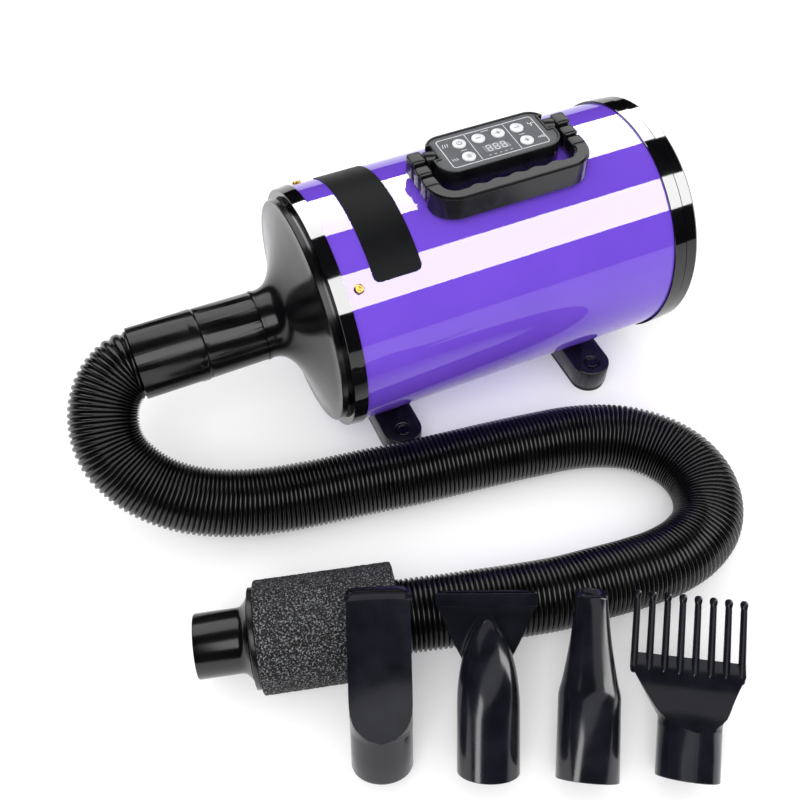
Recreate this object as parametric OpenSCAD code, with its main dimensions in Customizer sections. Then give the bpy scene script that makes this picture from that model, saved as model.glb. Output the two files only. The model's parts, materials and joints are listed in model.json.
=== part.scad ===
// Pet dryer: barrel blower with a ribbed hose, foam-gripped handpiece and four loose nozzles.
// X runs along the barrel, with the outlet towards -X. Z is up and the floor is z = 0.
// The origin is under the barrel's axis, in the middle of the front foot's sole.

/* [Barrel] */
// Outside diameter of the painted barrel
barrel_d = 176; // [150:1:212]
// Length of barrel that shows between the end rings
barrel_len = 242; // [225:1:300]
// Thickness of the barrel's wall
barrel_wall = 1.5; // [1:0.1:2.5]
// Gap between the barrel's underside and the floor
ground_gap = 15; // [12:0.5:19]
// Distance from the barrel's front edge back to the middle of the front foot
foot_inset = 34; // [28:1:45]

/* [End rings] */
// Width of the front ring
front_ring_w = 9.5; // [7:0.5:14]
// Width of the rear ring
rear_ring_w = 20; // [17:0.5:26]
// How far the rings stand out from the barrel
ring_lip = 1.5; // [0.8:0.1:3]
// Diameter of the intake cover
cover_d = 116; // [96:1:122]

/* [Outlet cone] */
// Length of the flared cone ahead of its flange
cone_len = 30; // [24:1:45]
// Outside diameter of the cone's neck
neck_d = 50; // [44:1:58]
// Length of the spigot that the hose cuff slides over
spigot_len = 32; // [24:1:36]
// Wall of the cone and spigot
cone_wall = 2.4; // [1.6:0.2:3.4]

/* [Hose cuff] */
// Length of the socket next to the cone
socket_len = 42; // [40:1:56]
// Length of the sleeve that holds the hose
sleeve_len = 47; // [36:1:56]
// Outside diameter of the hose over its ridges
hose_d = 48; // [46:1:50]
// Wall of the cuff
cuff_wall = 2.6; // [1.8:0.2:3.2]

/* [Handpiece] */
// Diameter of the foam grip
grip_d = 72; // [62:1:72]
// Length of the foam grip
grip_len = 89; // [80:1:120]
// Outside diameter of the outlet tip
tip_d = 41.2; // [40.8:0.2:46]
// Length of the tip's straight barrel
tip_len = 28; // [26:1:48]
// Depth of the socket in the tip that takes a nozzle
tip_socket = 24; // [18:1:28]

/* [Nozzles] */
// Outside diameter of a nozzle's base, which plugs into the tip
nozzle_d = 38; // [32:0.5:39]
// Wall of a nozzle
nozzle_wall = 1.8; // [1.2:0.1:2.4]
// Length of the flat nozzle
flat_len = 113; // [100:1:144]
// Length of the fan nozzle
fan_len = 106; // [92:1:130]
// Width of the fan nozzle's slot
fan_w = 62; // [52:1:74]
// Length of the round nozzle
round_len = 111; // [92:1:130]
// Length of the round nozzle's straight base
round_base = 50; // [40:1:58]
// Diameter of the round nozzle's outlet
round_tip_d = 21; // [17:0.5:25]
// Length of the comb nozzle
comb_len = 109; // [92:1:122]
// Distance between two tines of the comb nozzle
tine_pitch = 9.5; // [8:0.5:11]

/* [Control pod] */
// Length of the control pod
pod_len = 92; // [80:1:110]
// Width of the control pod
pod_w = 41; // [36:1:46]
// Height of the pod's rim above the top of the barrel
pod_h = 17; // [15:0.5:22]
// Diameter of a push button
button_d = 9.6; // [8:0.2:10.4]
// Travel of a push button
button_travel = 0.6; // [0.4:0.1:1]

/* [Handle] */
// Width of the bail's arms
arm_w = 11; // [9:0.5:13]
// How far the grip bar reaches from the pivot line
handle_reach = 47; // [44:1:58]
// Thickness of the grip bar
bar_t = 13; // [10:0.5:14]
// Diameter of the hinge pins
hinge_pin_d = 4; // [3:0.5:5]

/* [Feet] */
// Width of a foot along the barrel
foot_w = 30; // [24:1:36]
// Reach of a foot from tip to tip
foot_span = 168; // [150:1:196]
// Distance between the two feet
foot_pitch = 166; // [140:1:190]

/* [Blower] */
// Diameter of the impellers
impeller_d = 118; // [96:1:122]
// Diameter of the motor's stator
stator_d = 90; // [72:1:94]
// Length of the stator's stack of laminations
stack_len = 34; // [26:1:40]
// Diameter of the motor shaft
shaft_d = 8; // [7:0.5:9]
// Thickness of the sound-deadening foam
liner_t = 11; // [8:0.5:13]

/* [Hidden] */
$fn = 96;
barrel_r = barrel_d / 2;
barrel_in = barrel_r - barrel_wall;
axis_z = barrel_r + ground_gap;
front_x = -foot_inset;
rear_x = front_x + barrel_len;
ring_r = barrel_r + ring_lip;
fit = 0.1;
spigot_gap = 0.2;
ring_spigot = 9;
ring_in = barrel_r - 6;
front_in = barrel_r - 8;

// cone and cuff, counted forwards from the front ring
ring_front_x = front_x - front_ring_w;
flange_w = 6.5;
flange_r = barrel_r - 5;
groove_w = 2.5;
neck_x = ring_front_x - flange_w - cone_len;
neck_r = neck_d / 2;
spigot_r = neck_r - 2.4;
cuff_x = neck_x - 2;
seam_x = cuff_x - socket_len;
sleeve_x = seam_x - sleeve_len;
sleeve_r = hose_d / 2 + cuff_wall - 0.6;
joint_r = spigot_r - 1.4;

// rear
ring_rear_x = rear_x + rear_ring_w;
back_plate_x = ring_rear_x - 6;
cover_r = cover_d / 2;
cover_gap = 0.4;
flare_steps = 14;
gland_r = 10;
gland_bore_r = 4.1;
gland_z = axis_z - (cover_r + ring_in) / 2;

// foot
foot_top = ground_gap + 7;
sole_t = 4;
foot_r = foot_w / 2;
plug_r = 5.5;
plug_y = foot_span / 2 - foot_r + 2;

// screws in the barrel and the label
screw_x = front_x + 8.5;
screw_angle = 41;
screw_head_r = 3.6;
label_x = front_x + 20;
label_w = 34;
label_t = 0.6;
label_angle = 41;

// control pod
pod_x = front_x + 132;
pod_top = axis_z + barrel_r + pod_h;
pod_r = 13;
pod_wall = 2.2;
rim_t = 1.4;
panel_t = 2.2;
panel_top = pod_top - 0.8;
notch_w = 15;
notch_d = 4.5;
flange_t = 1;
button_gap = 0.25;
button_proud = 0.7;
button_cols = [-22, -7.5, 7.5, 22];
button_row_far = 7;
button_row_near = -8;
board_z = panel_top - panel_t - 6;
board_t = 1.6;
display_l = 20;
display_w = 8;
display_y = -5.5;

// handle
pivot_y = 5;
pivot_z = pod_top - 5;
arm_gap = 3.5;
arm_in = pod_len / 2 + arm_gap;
arm_out = arm_in + arm_w;
bar_out = handle_reach - pivot_y;
eye_r = 6.5;
bail_top = pod_top - 3;
bail_h = 20;
cap_t = 5;
bail_r = 20;
barrel_clear = 1.2;
pin_clear = 0.05;

// blower train, all along the barrel's axis
liner_in = barrel_in - fit - liner_t;
case_r = liner_in - 4;
case_wall = 2.5;
case_rear = rear_x - 15;
case_len = 66;
case_front = case_rear - case_len;
shaft_r = shaft_d / 2;
bearing_r = 11;
bearing_w = 7;
impeller_r = impeller_d / 2;
stage_w = 16;
stage_gap = 5;
first_x = case_rear - case_wall - 4 - stage_w;
second_x = case_front + case_wall + 7;
diffuser_x = second_x + stage_w + 4;
eye_in_r = 24;
hub_r = 9;
stator_r = stator_d / 2;
stack_x = case_front - 18 - stack_len;
stack_in = stator_r - 15.5;
armature_r = stack_in - 0.8;
commutator_r = 14;
commutator_x = stack_x - 34;
bracket_x = commutator_x - 16;
shaft_front = bracket_x - 4;
shaft_rear = case_rear - case_wall - 3;
brush_w = 6;
heater_x = front_x + 4;
heater_len = 30;
heater_r = barrel_r - 34;
coil_r = heater_r - 7;
wire_r = 0.9;

// handpiece, turned on the floor about its hose end
grip_r = grip_d / 2;
hand_pos = [-66, -218.5, grip_r];
hand_yaw = 165;
core_r = 25;
ferrule_r = hose_d / 2 - 2.2;
swivel_gap = 0.05;
grip_x = 4;
grip_end = grip_x + grip_len;
tip_x = grip_end + 4;
tip_r = tip_d / 2;
tip_shoulder = 7;
nozzle_r = nozzle_d / 2;
socket_r = nozzle_r + 0.1;

// nozzles lean back from a point of their base on the floor: X, Y, turn about Z and lean
flat_place = [-105.7, -275, 22, 30];
fan_place = [-51.2, -311.5, 23.7, 49.5];
round_place = [-1.3, -345.2, 28.7, 65.8];
comb_place = [54.4, -368.5, 31.3, 64.3];
plug_len = tip_socket + 4;
fan_plug = 38;
round_cut = 16;
slot_t = 8;
slot_in = slot_t - 2 * nozzle_wall;
tine_r = 2.4;
tines = 8;

// hose: route of its centre line, from the cuff to the handpiece
hose_r = hose_d / 2;
hose_wall = 2.5;
hose_sides = 10;
hand_dir = [cos(hand_yaw), sin(hand_yaw), 0];
hose_route = [
    [sleeve_x, 0, axis_z], [sleeve_x - 5, 0, axis_z], [-185, -3, 100.7], [-193.5, -8.5, 96.3],
    [-200, -16, 90.4], [-204, -25, 83.3], [-205.5, -34.5, 75.8], [-203.5, -45, 67.5],
    [-198, -54.5, 60], [-188, -65.5, 51.5], [-173, -76, 43.5], [-154, -84.5, 36.5], [-132, -91, 31],
    [-108, -95.5, 27], [-82, -99.5, 24.8], [-50, -104.5, 24.3], [-15, -111, 24.3], [20, -116, 24.3],
    [55, -121, 24.3], [85, -126, 24.3], [110, -131, 24.3], [130, -138, 24.3], [148, -147.5, 24.3],
    [161, -159, 24.3], [171, -173, 24.3], [176.5, -189, 24.3], [176.5, -206, 24.3],
    [170.5, -222.5, 24.3], [159, -236, 24.3], [142, -245, 25], [115, -250, 26.6], [90, -249.5, 28.8],
    [63, -247, 31.2], [36, -244, 33.4], [9, -238.5, 35], [-15, -232.5, 35.8], [-36, -227, 36],
    hand_pos - 6 * hand_dir, hand_pos
];

// Turns local Z into the row's X, on the barrel's axis
module on_axis(x = 0) {
    translate([x, 0, axis_z]) rotate([0, 90, 0]) children();
}

// Turns a child about the barrel's axis, counted from the top towards -Y
module around(angle) {
    translate([0, 0, axis_z]) rotate([angle, 0, 0]) children();
}

module tube(len, r_out, r_in) {
    difference() {
        cylinder(h = len, r = r_out);
        translate([0, 0, -1]) cylinder(h = len + 2, r = r_in);
    }
}

module on_hand(x = 0) {
    translate(hand_pos) rotate([0, 0, hand_yaw]) translate([x, 0, 0]) rotate([0, 90, 0]) children();
}

// Stands a nozzle on its base edge at a floor point, then leans it back
module leaning(place) {
    translate([place[0], place[1], 0]) rotate([0, 0, -place[2]]) rotate([-place[3], 0, 0])
        translate([0, -nozzle_r, 0]) children();
}

module rounded_slab(l, w, r, h) {
    linear_extrude(h) rounded_outline(l, w, r);
}

module rounded_outline(l, w, r) {
    union() {
        square([l - 2 * r, w], center = true);
        square([l, w - 2 * r], center = true);
        for (sx = [-1, 1], sy = [-1, 1])
            translate([sx * (l / 2 - r), sy * (w / 2 - r)]) circle(r);
    }
}

module barrel() {
    color("mediumslateblue") difference() {
        on_axis(front_x) tube(barrel_len, barrel_r, barrel_in);
        for (a = [screw_angle, -screw_angle])
            around(a) translate([screw_x, 0, 0]) cylinder(h = barrel_r + 5, r = 1.7);
    }
}

module front_ring() {
    color("black") on_axis(front_x) difference() {
        union() {
            translate([0, 0, -front_ring_w]) cylinder(h = front_ring_w - 1, r1 = ring_r - 1, r2 = ring_r);
            translate([0, 0, -1]) cylinder(h = 1, r = ring_r);
            translate([0, 0, -1]) cylinder(h = ring_spigot / 2 - 0.5, r = barrel_in - spigot_gap);
        }
        translate([0, 0, -front_ring_w - 1]) cylinder(h = front_ring_w + ring_spigot + 2, r = front_in);
    }
}

// Concave flare between the flange and the neck, as radius over a share of the length
function flare(t) = neck_r + (barrel_r - 10 - neck_r) * pow(1 - t, 2.8);

function flare_points(shrink) =
    [for (i = [0:flare_steps]) [flare(i / flare_steps) - shrink, -flange_w - cone_len * i / flare_steps]];

module outlet_cone() {
    spigot_end = cuff_x - ring_front_x - spigot_len;
    color("black") difference() {
        on_axis(ring_front_x) union() {
            translate([0, 0, -groove_w]) cylinder(h = groove_w + 5, r = front_in - fit);
            translate([0, 0, -flange_w]) cylinder(h = flange_w - groove_w, r1 = flange_r - 1, r2 = flange_r);
            rotate_extrude()
                polygon(concat([[0.01, -flange_w]], flare_points(0), [[0.01, -flange_w - cone_len]]));
            translate([0, 0, neck_x - ring_front_x - 2]) cylinder(h = 2.5, r = neck_r + 0.6);
            translate([0, 0, spigot_end]) cylinder(h = spigot_len + 1, r = spigot_r);
        }
        on_axis(ring_front_x) union() {
            rotate_extrude()
                polygon(concat([[0.01, -flange_w]], flare_points(cone_wall), [[0.01, -flange_w - cone_len]]));
            translate([0, 0, -flange_w - 0.01]) cylinder(h = flange_w + 6, r = front_in - cone_wall);
            translate([0, 0, spigot_end - 1]) cylinder(h = spigot_len + cone_len, r = spigot_r - cone_wall);
        }
    }
}

module rear_ring() {
    color("black") on_axis(rear_x) difference() {
        union() {
            cylinder(h = rear_ring_w / 2, r = ring_r);
            translate([0, 0, rear_ring_w / 2]) cylinder(h = rear_ring_w / 2 - 1.5, r = ring_r - 0.8);
            translate([0, 0, rear_ring_w - 1.5]) cylinder(h = 1.5, r1 = ring_r - 0.8, r2 = ring_r - 2.3);
            translate([0, 0, -ring_spigot]) cylinder(h = ring_spigot + 1, r = barrel_in - spigot_gap);
        }
        translate([0, 0, -ring_spigot - 1])
            cylinder(h = back_plate_x - rear_x + ring_spigot + 1, r = ring_in);
        translate([0, 0, back_plate_x - rear_x + 3]) cylinder(h = 10, r = ring_in);
        translate([0, 0, -1]) cylinder(h = rear_ring_w + 10, r = cover_r);
        translate([axis_z - gland_z, 0, 0]) cylinder(h = rear_ring_w + 10, r = gland_bore_r + 2.2);
    }
}

module rear_cover() {
    slots = 24;
    color("dimgray") on_axis(back_plate_x) difference() {
        union() {
            translate([0, 0, 3.3]) cylinder(h = 3.5, r1 = cover_r + 1.2, r2 = cover_r + 0.2);
            translate([0, 0, -12]) cylinder(h = 16, r = cover_r - cover_gap);
        }
        translate([0, 0, -13]) cylinder(h = 16, r = cover_r - cover_gap - 2);
        for (i = [0:slots - 1]) rotate([0, 0, i * 360 / slots]) {
            translate([cover_r * 0.66, -1.6, -1]) cube([cover_r * 0.26, 3.2, 12]);
            translate([cover_r * 0.38, -1.1, -1]) cube([cover_r * 0.22, 2.2, 12]);
        }
    }
}

module intake_filter() {
    color("darkgray") on_axis(back_plate_x - 9) tube(11.5, cover_r - cover_gap - 2.3, 9);
}

module label_plate() {
    color("black") around(-label_angle) translate([label_x, 0, 0]) rotate([0, 90, 0])
        rotate([0, 0, 180]) rotate_extrude(angle = 2 * label_angle)
            translate([barrel_r + 0.05, 0]) square([label_t, label_w]);
}

module body_screws() {
    color("darkgoldenrod") for (a = [screw_angle, -screw_angle])
        around(a) translate([screw_x, 0, barrel_in + 0.2]) difference() {
            union() {
                cylinder(h = barrel_wall, r = 1.6);
                translate([0, 0, barrel_wall]) cylinder(h = 1.8, r1 = screw_head_r, r2 = screw_head_r - 1);
            }
            translate([0, 0, barrel_wall + 1.8]) cube([3.4, 0.7, 1.6], center = true);
            translate([0, 0, barrel_wall + 1.8]) cube([0.7, 3.4, 1.6], center = true);
        }
}

module foot_outline(shrink = 0) {
    r = foot_r - shrink;
    union() {
        square([2 * r, foot_span - foot_w], center = true);
        for (s = [-1, 1]) translate([0, s * (foot_span / 2 - foot_r)]) circle(r);
    }
}

module foot(x) {
    color("#1c1c1e") difference() {
        translate([x, 0, sole_t]) linear_extrude(foot_top - sole_t) foot_outline();
        on_axis(x - foot_w) cylinder(h = 2 * foot_w, r = barrel_r + 0.02);
        for (s = [-1, 1]) translate([x, s * plug_y, foot_top - 2]) cylinder(h = 5, r = plug_r + 0.1);
    }
}

module front_foot() {
    foot(0);
}

module rear_foot() {
    foot(foot_pitch);
}

module foot_soles() {
    color("#2a2a2a") for (x = [0, foot_pitch])
        translate([x, 0, 0]) linear_extrude(sole_t) foot_outline(1);
}

module foot_plugs() {
    color("black") for (x = [0, foot_pitch], s = [-1, 1])
        translate([x, s * plug_y, foot_top - 2]) difference() {
            cylinder(h = 2.4, r = plug_r);
            translate([0, 0, 1.4]) cylinder(h = 2, r = plug_r - 1.6);
        }
}

module cord_gland() {
    color("black") translate([back_plate_x, 0, gland_z]) rotate([0, 90, 0]) difference() {
        union() {
            translate([0, 0, -8]) cylinder(h = 8, r = gland_bore_r + 4, $fn = 6);
            translate([0, 0, -1]) cylinder(h = 5, r = gland_bore_r + 2.1);
            translate([0, 0, 3]) cylinder(h = 4, r = gland_r);
            translate([0, 0, 7]) cylinder(h = 12, r1 = gland_r - 1, r2 = gland_bore_r + 2);
        }
        translate([0, 0, -9]) cylinder(h = 40, r = gland_bore_r);
    }
}

module sound_liner() {
    color("#3c3c40") on_axis(front_x + ring_spigot)
        tube(barrel_len - 2 * ring_spigot - 1, barrel_in - fit, liner_in);
}

module fan_case() {
    color("silver") on_axis(case_front) difference() {
        cylinder(h = case_len, r = case_r);
        translate([0, 0, case_wall]) cylinder(h = case_len - 2 * case_wall, r = case_r - case_wall);
        translate([0, 0, case_len - case_wall - 1]) cylinder(h = 10, r = eye_in_r + 2);
        translate([0, 0, -1]) cylinder(h = 10, r = bearing_r + 0.02);
        for (i = [0:5]) rotate([0, 0, 60 * i]) translate([case_r * 0.78, 0, -1]) cylinder(h = 10, r = 8);
    }
}

// A closed wheel with straight blades, its eye towards +Z
module wheel(x) {
    blades = 9;
    disc = 1.6;
    on_axis(x) difference() {
        union() {
            cylinder(h = disc, r = impeller_r);
            cylinder(h = stage_w, r = hub_r);
            translate([0, 0, stage_w - disc]) tube(disc, impeller_r, eye_in_r);
            for (i = [0:blades - 1]) rotate([0, 0, i * 360 / blades])
                translate([eye_in_r - 8, -0.8, disc / 2])
                    cube([impeller_r - eye_in_r + 6, 1.6, stage_w - disc]);
        }
        translate([0, 0, -1]) cylinder(h = stage_w + 2, r = shaft_r);
    }
}

module first_impeller() {
    color("lightgray") wheel(first_x);
}

module second_impeller() {
    color("lightgray") wheel(second_x);
}

module diffuser() {
    vanes = 12;
    color("gainsboro") on_axis(diffuser_x) difference() {
        union() {
            cylinder(h = 2, r = case_r - case_wall - fit);
            for (i = [0:vanes - 1]) rotate([0, 0, i * 30]) translate([eye_in_r + 4, -0.8, 1])
                cube([case_r - case_wall - eye_in_r - 6, 1.6, first_x - diffuser_x - stage_gap + 2]);
        }
        translate([0, 0, -1]) cylinder(h = 40, r = eye_in_r);
    }
}

module motor_shaft() {
    color("silver") on_axis(shaft_front) cylinder(h = shaft_rear - shaft_front, r = shaft_r);
}

module armature() {
    slots = 12;
    color("peru") on_axis(stack_x) difference() {
        union() {
            cylinder(h = stack_len, r = armature_r);
            translate([0, 0, -12]) cylinder(h = stack_len + 24, r = armature_r - 6);
        }
        translate([0, 0, -20]) cylinder(h = stack_len + 40, r = shaft_r);
        for (i = [0:slots - 1]) rotate([0, 0, i * 30]) translate([armature_r - 3, -0.8, -1])
            cube([5, 1.6, stack_len + 2]);
    }
}

module commutator() {
    color("chocolate") on_axis(commutator_x) difference() {
        cylinder(h = 16, r = commutator_r);
        translate([0, 0, -1]) cylinder(h = 20, r = shaft_r);
        for (i = [0:23]) rotate([0, 0, i * 15]) translate([commutator_r - 1, -0.25, -1]) cube([3, 0.5, 14]);
    }
}

module stator() {
    color("slategray") on_axis(stack_x) difference() {
        cylinder(h = stack_len, r = stator_r);
        translate([0, 0, -1]) cylinder(h = stack_len + 2, r = stack_in);
        for (s = [-1, 1]) translate([s * (stack_in + 3) - 3.5, -stator_r * 0.55, -1])
            cube([7, stator_r * 1.1, stack_len + 2]);
    }
}

module field_coils() {
    color("sienna") on_axis(stack_x) for (s = [-1, 1]) difference() {
        translate([s * (stack_in + 3) - 3, -stator_r * 0.53, -9])
            cube([6, stator_r * 1.06, stack_len + 18]);
        translate([0, 0, -10]) cylinder(h = stack_len + 20, r = stack_in + 0.3);
        translate([0, 0, -10]) difference() {
            cylinder(h = 9.8, r = stator_r + 30);
            translate([0, 0, -1]) cylinder(h = 12, r = stator_r - 4);
        }
        translate([s * (stack_in + 3) - 4, -stator_r * 0.25, 2]) cube([8, stator_r * 0.5, stack_len - 4]);
    }
}

module bearing(x) {
    on_axis(x) tube(bearing_w, bearing_r, shaft_r + swivel_gap);
}

module front_bearing() {
    color("silver") bearing(bracket_x);
}

module rear_bearing() {
    color("silver") bearing(case_front - 1);
}

// Spider and cage that hold the stator and the front bearing off the fan case
module motor_bracket() {
    cage_r = stator_r + 3;
    cage_in = stator_r + 0.05;
    window = 28;
    rear_window_x = stack_x + stack_len + 2;
    color("darkgray") on_axis(bracket_x) difference() {
        union() {
            cylinder(h = bearing_w, r = bearing_r + 4);
            for (a = [45, 135]) rotate([0, 0, a])
                translate([-cage_in - 1, -4, 0]) cube([2 * cage_in + 2, 8, 5]);
            tube(case_front - bracket_x, cage_r, cage_in);
        }
        translate([0, 0, -1]) cylinder(h = 20, r = bearing_r + 0.02);
        for (a = [0, 90, 180, 270]) rotate([0, 0, a]) {
            translate([cage_in - 8, -window / 2, 9]) cube([20, window, stack_x - bracket_x - 12]);
            translate([cage_in - 8, -window / 2, rear_window_x - bracket_x]) cube([20, window, 12]);
        }
    }
}

module brush_holders() {
    color("goldenrod") on_axis(commutator_x + 2) for (s = [0, 180]) rotate([0, 0, s]) difference() {
        translate([commutator_r + 1.5, -brush_w, 0]) cube([stator_r - commutator_r - 3, 2 * brush_w, 10]);
        translate([commutator_r, -brush_w / 2, 1.5]) cube([stator_r - commutator_r - 6, brush_w, 7]);
    }
}

module carbon_brushes() {
    color("#333333") on_axis(commutator_x + 2) for (s = [0, 180]) rotate([0, 0, s])
        difference() {
            translate([commutator_r - 1, -brush_w / 2 + 0.1, 1.6]) cube([16, brush_w - 0.2, 6.8]);
            translate([0, 0, -1]) cylinder(h = 20, r = commutator_r + 0.15);
        }
}

module case_rings() {
    color("#2b2b2b") for (x = [case_front + 8, case_rear - 18])
        on_axis(x) tube(10, liner_in - 0.05, case_r + 0.05);
}

module coil_ring(i, grow) {
    translate([0, 0, 4 + i * 4.4]) rotate_extrude() translate([coil_r, 0]) circle(wire_r + grow, $fn = 16);
}

module heater_frame() {
    color("burlywood") on_axis(heater_x) difference() {
        union() {
            for (i = [0:2]) rotate([0, 0, i * 60])
                translate([-heater_r, -0.5, 0]) cube([2 * heater_r, 1, heater_len]);
            translate([0, 0, heater_len / 2]) tube(1, liner_in - 0.1, heater_r - 2);
        }
        for (i = [0:5]) coil_ring(i, 0.15);
    }
}

module heater_coil() {
    color("gray") on_axis(heater_x) for (i = [0:5]) coil_ring(i, 0);
}

module thermal_cutout() {
    color("white") on_axis(heater_x) rotate([0, 0, 30]) translate([coil_r * 0.5, 0, heater_len / 2])
        rotate([90, 0, 0]) cylinder(h = 5, r = 6);
}

module pod_outline(shrink) {
    difference() {
        rounded_outline(pod_len - 2 * shrink, pod_w - 2 * shrink, pod_r - shrink);
        for (s = [-1, 1]) translate([s * pod_len / 2, pivot_y])
            square([2 * (notch_d + shrink), notch_w + 2 * shrink], center = true);
    }
}

module pod_base() {
    floor_z = axis_z + barrel_r - 8;
    color("#202124") translate([pod_x, 0, 0]) difference() {
        translate([0, 0, floor_z]) linear_extrude(pod_top - floor_z) pod_outline(0);
        translate([0, 0, axis_z + barrel_r + 2]) linear_extrude(pod_h) pod_outline(pod_wall);
        translate([0, 0, panel_top - panel_t]) linear_extrude(pod_h) pod_outline(rim_t);
        on_axis(-pod_len) cylinder(h = 2 * pod_len, r = barrel_r + 0.02);
    }
}

module pod_panel() {
    color("#3a3b3f") translate([pod_x, 0, panel_top - panel_t]) difference() {
        linear_extrude(panel_t) pod_outline(rim_t + fit);
        for (b = [0:5]) translate([button_at(b)[0], button_at(b)[1], -1])
            cylinder(h = panel_t + 2, r = button_d / 2 + button_gap);
        translate([-display_l / 2, display_y - display_w / 2, -1]) cube([display_l, display_w, panel_t + 2]);
    }
}

// Power and mode stand in one column; speed and heat pairs fill the other columns
function button_at(i) =
    i == 0 ? [button_cols[0], button_row_far] :
    i == 1 ? [button_cols[0], button_row_near] :
    i == 2 ? [button_cols[1], button_row_far] :
    i == 3 ? [button_cols[2], button_row_far] :
    i == 4 ? [button_cols[3], button_row_far] : [button_cols[3], button_row_near];

module button(i) {
    at = button_at(i);
    stem_z = board_z + board_t + button_travel + 0.4;
    flange_top = panel_top - panel_t - 0.1;
    color("white") translate([pod_x + at[0], at[1], 0]) {
        translate([0, 0, flange_top - flange_t])
            cylinder(h = panel_top + button_proud - flange_top + flange_t, r = button_d / 2);
        translate([0, 0, flange_top - flange_t]) cylinder(h = flange_t, r = button_d / 2 + 0.8);
        translate([0, 0, stem_z]) cylinder(h = flange_top - stem_z, r = 1.6);
    }
}

module power_button() {
    button(0);
}

module mode_button() {
    button(1);
}

module speed_down_button() {
    button(2);
}

module speed_up_button() {
    button(3);
}

module heat_down_button() {
    button(4);
}

module heat_up_button() {
    button(5);
}

module display_window() {
    color("#55575c") translate([pod_x, display_y, panel_top - panel_t / 2 + 0.1])
        cube([display_l - 0.2, display_w - 0.2, panel_t + 0.2], center = true);
}

module circuit_board() {
    color("darkgreen") translate([pod_x, 0, board_z]) linear_extrude(board_t) pod_outline(pod_wall + 0.2);
}

module heatsink() {
    color("lightgray") translate([pod_x + 4, 0, axis_z + barrel_r + 2.1]) {
        translate([-14, -12, 0]) cube([28, 24, 1.4]);
        for (y = [-11, -5.7, -0.4, 4.9, 10.2]) translate([-14, y, 0])
            cube([28, 1.4, board_z - axis_z - barrel_r - 2.4]);
    }
}

module at_pivot() {
    translate([pod_x, pivot_y, pivot_z]) children();
}

module handle_lugs() {
    lug_out = arm_in - 0.4;
    lug_in = pod_len / 2 - notch_d + 0.1;
    color("black") difference() {
        at_pivot() for (s = [-1, 1]) translate([s * (lug_out + lug_in) / 2, 0, 0]) union() {
            rotate([0, 90, 0]) cylinder(h = lug_out - lug_in, r = 5.5, center = true);
            translate([-(lug_out - lug_in) / 2, -5.5, -22]) cube([lug_out - lug_in, 11, 22]);
        }
        on_axis(pod_x - arm_out) cylinder(h = 2 * arm_out, r = barrel_r + 0.02);
        at_pivot() rotate([0, 90, 0]) cylinder(h = 3 * arm_out, r = hinge_pin_d / 2, center = true);
    }
}

module hinge_pins() {
    pin_in = pod_len / 2 - notch_d + 0.5;
    pin_out = arm_out - 2;
    color("silver") at_pivot() for (s = [-1, 1])
        translate([s * (pin_in + pin_out) / 2, 0, 0]) rotate([0, 90, 0])
            cylinder(h = pin_out - pin_in, r = hinge_pin_d / 2, center = true);
}

// The bail seen from above: two arms and a grip bar, with round outer corners
module bail_outline(shrink) {
    front_y = -bar_out - pivot_y;
    corner_x = arm_out - bail_r;
    difference() {
        union() {
            translate([-arm_out + shrink, front_y + bail_r])
                square([2 * (arm_out - shrink), bar_out - bail_r + pivot_y]);
            translate([-corner_x, front_y + shrink]) square([2 * corner_x, bail_r]);
            for (s = [-1, 1]) translate([s * corner_x, front_y + bail_r]) circle(bail_r - shrink);
        }
        translate([-arm_in - shrink, front_y + bail_r]) square([2 * (arm_in + shrink), 2 * bar_out]);
        translate([0, front_y + bar_t - shrink]) bail_hollow();
    }
}

module bail_hollow() {
    inner_r = bail_r - arm_w + 2;
    translate([-arm_in + inner_r, 0]) square([2 * (arm_in - inner_r), 3 * bail_r]);
    translate([-arm_in, inner_r]) square([2 * arm_in, 3 * bail_r]);
    for (s = [-1, 1]) translate([s * (arm_in - inner_r), inner_r]) circle(inner_r);
}

module handle_frame() {
    base_z = bail_top - bail_h;
    color("#1b1c1e") difference() {
        union() {
            translate([pod_x, pivot_y, base_z]) linear_extrude(bail_h - cap_t) bail_outline(1);
            at_pivot() for (s = [-1, 1]) translate([s * (arm_in + arm_out) / 2, 0, 0])
                rotate([0, 90, 0]) cylinder(h = arm_w - 0.1, r = eye_r, center = true);
        }
        on_axis(pod_x - arm_out - 5) cylinder(h = 2 * arm_out + 10, r = barrel_r + barrel_clear);
        at_pivot() rotate([0, 90, 0])
            cylinder(h = 2 * (arm_out - 2) + 0.4, r = hinge_pin_d / 2 + pin_clear, center = true);
        translate([pod_x - arm_out - 1, pivot_y - 4, 0]) cube([2 * arm_out + 2, 8, pivot_z - eye_r]);
    }
}

module handle_cap() {
    bar_y = -bar_out;
    color("#26272a") translate([pod_x, 0, bail_top - cap_t]) linear_extrude(cap_t) intersection() {
        translate([0, pivot_y]) bail_outline(1);
        translate([-arm_out, bar_y - 5]) square([2 * arm_out, bail_r + 1]);
    }
}

// Three ribbed sleeves on top of each arm
module arm_sleeves() {
    pitch = 7.2;
    start = -bar_out + bail_r - 3.5;
    width = arm_w - 1;
    color("black") translate([pod_x, 0, bail_top - cap_t])
        for (s = [-1, 1], i = [0:2])
            translate([s * (arm_in + arm_out) / 2 - width / 2, start + i * pitch, 0])
                cube([width, pitch - 1.2, cap_t - 0.4]);
}

module cuff_socket() {
    color("black") on_axis(seam_x) difference() {
        union() {
            cylinder(h = socket_len, r1 = sleeve_r - 0.5, r2 = neck_r);
            translate([0, 0, -8]) cylinder(h = 9, r = joint_r);
        }
        translate([0, 0, socket_len - spigot_len - 1]) cylinder(h = socket_len, r = spigot_r + fit);
        translate([0, 0, -9]) cylinder(h = socket_len + 10, r = joint_r - 2);
    }
}

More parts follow.
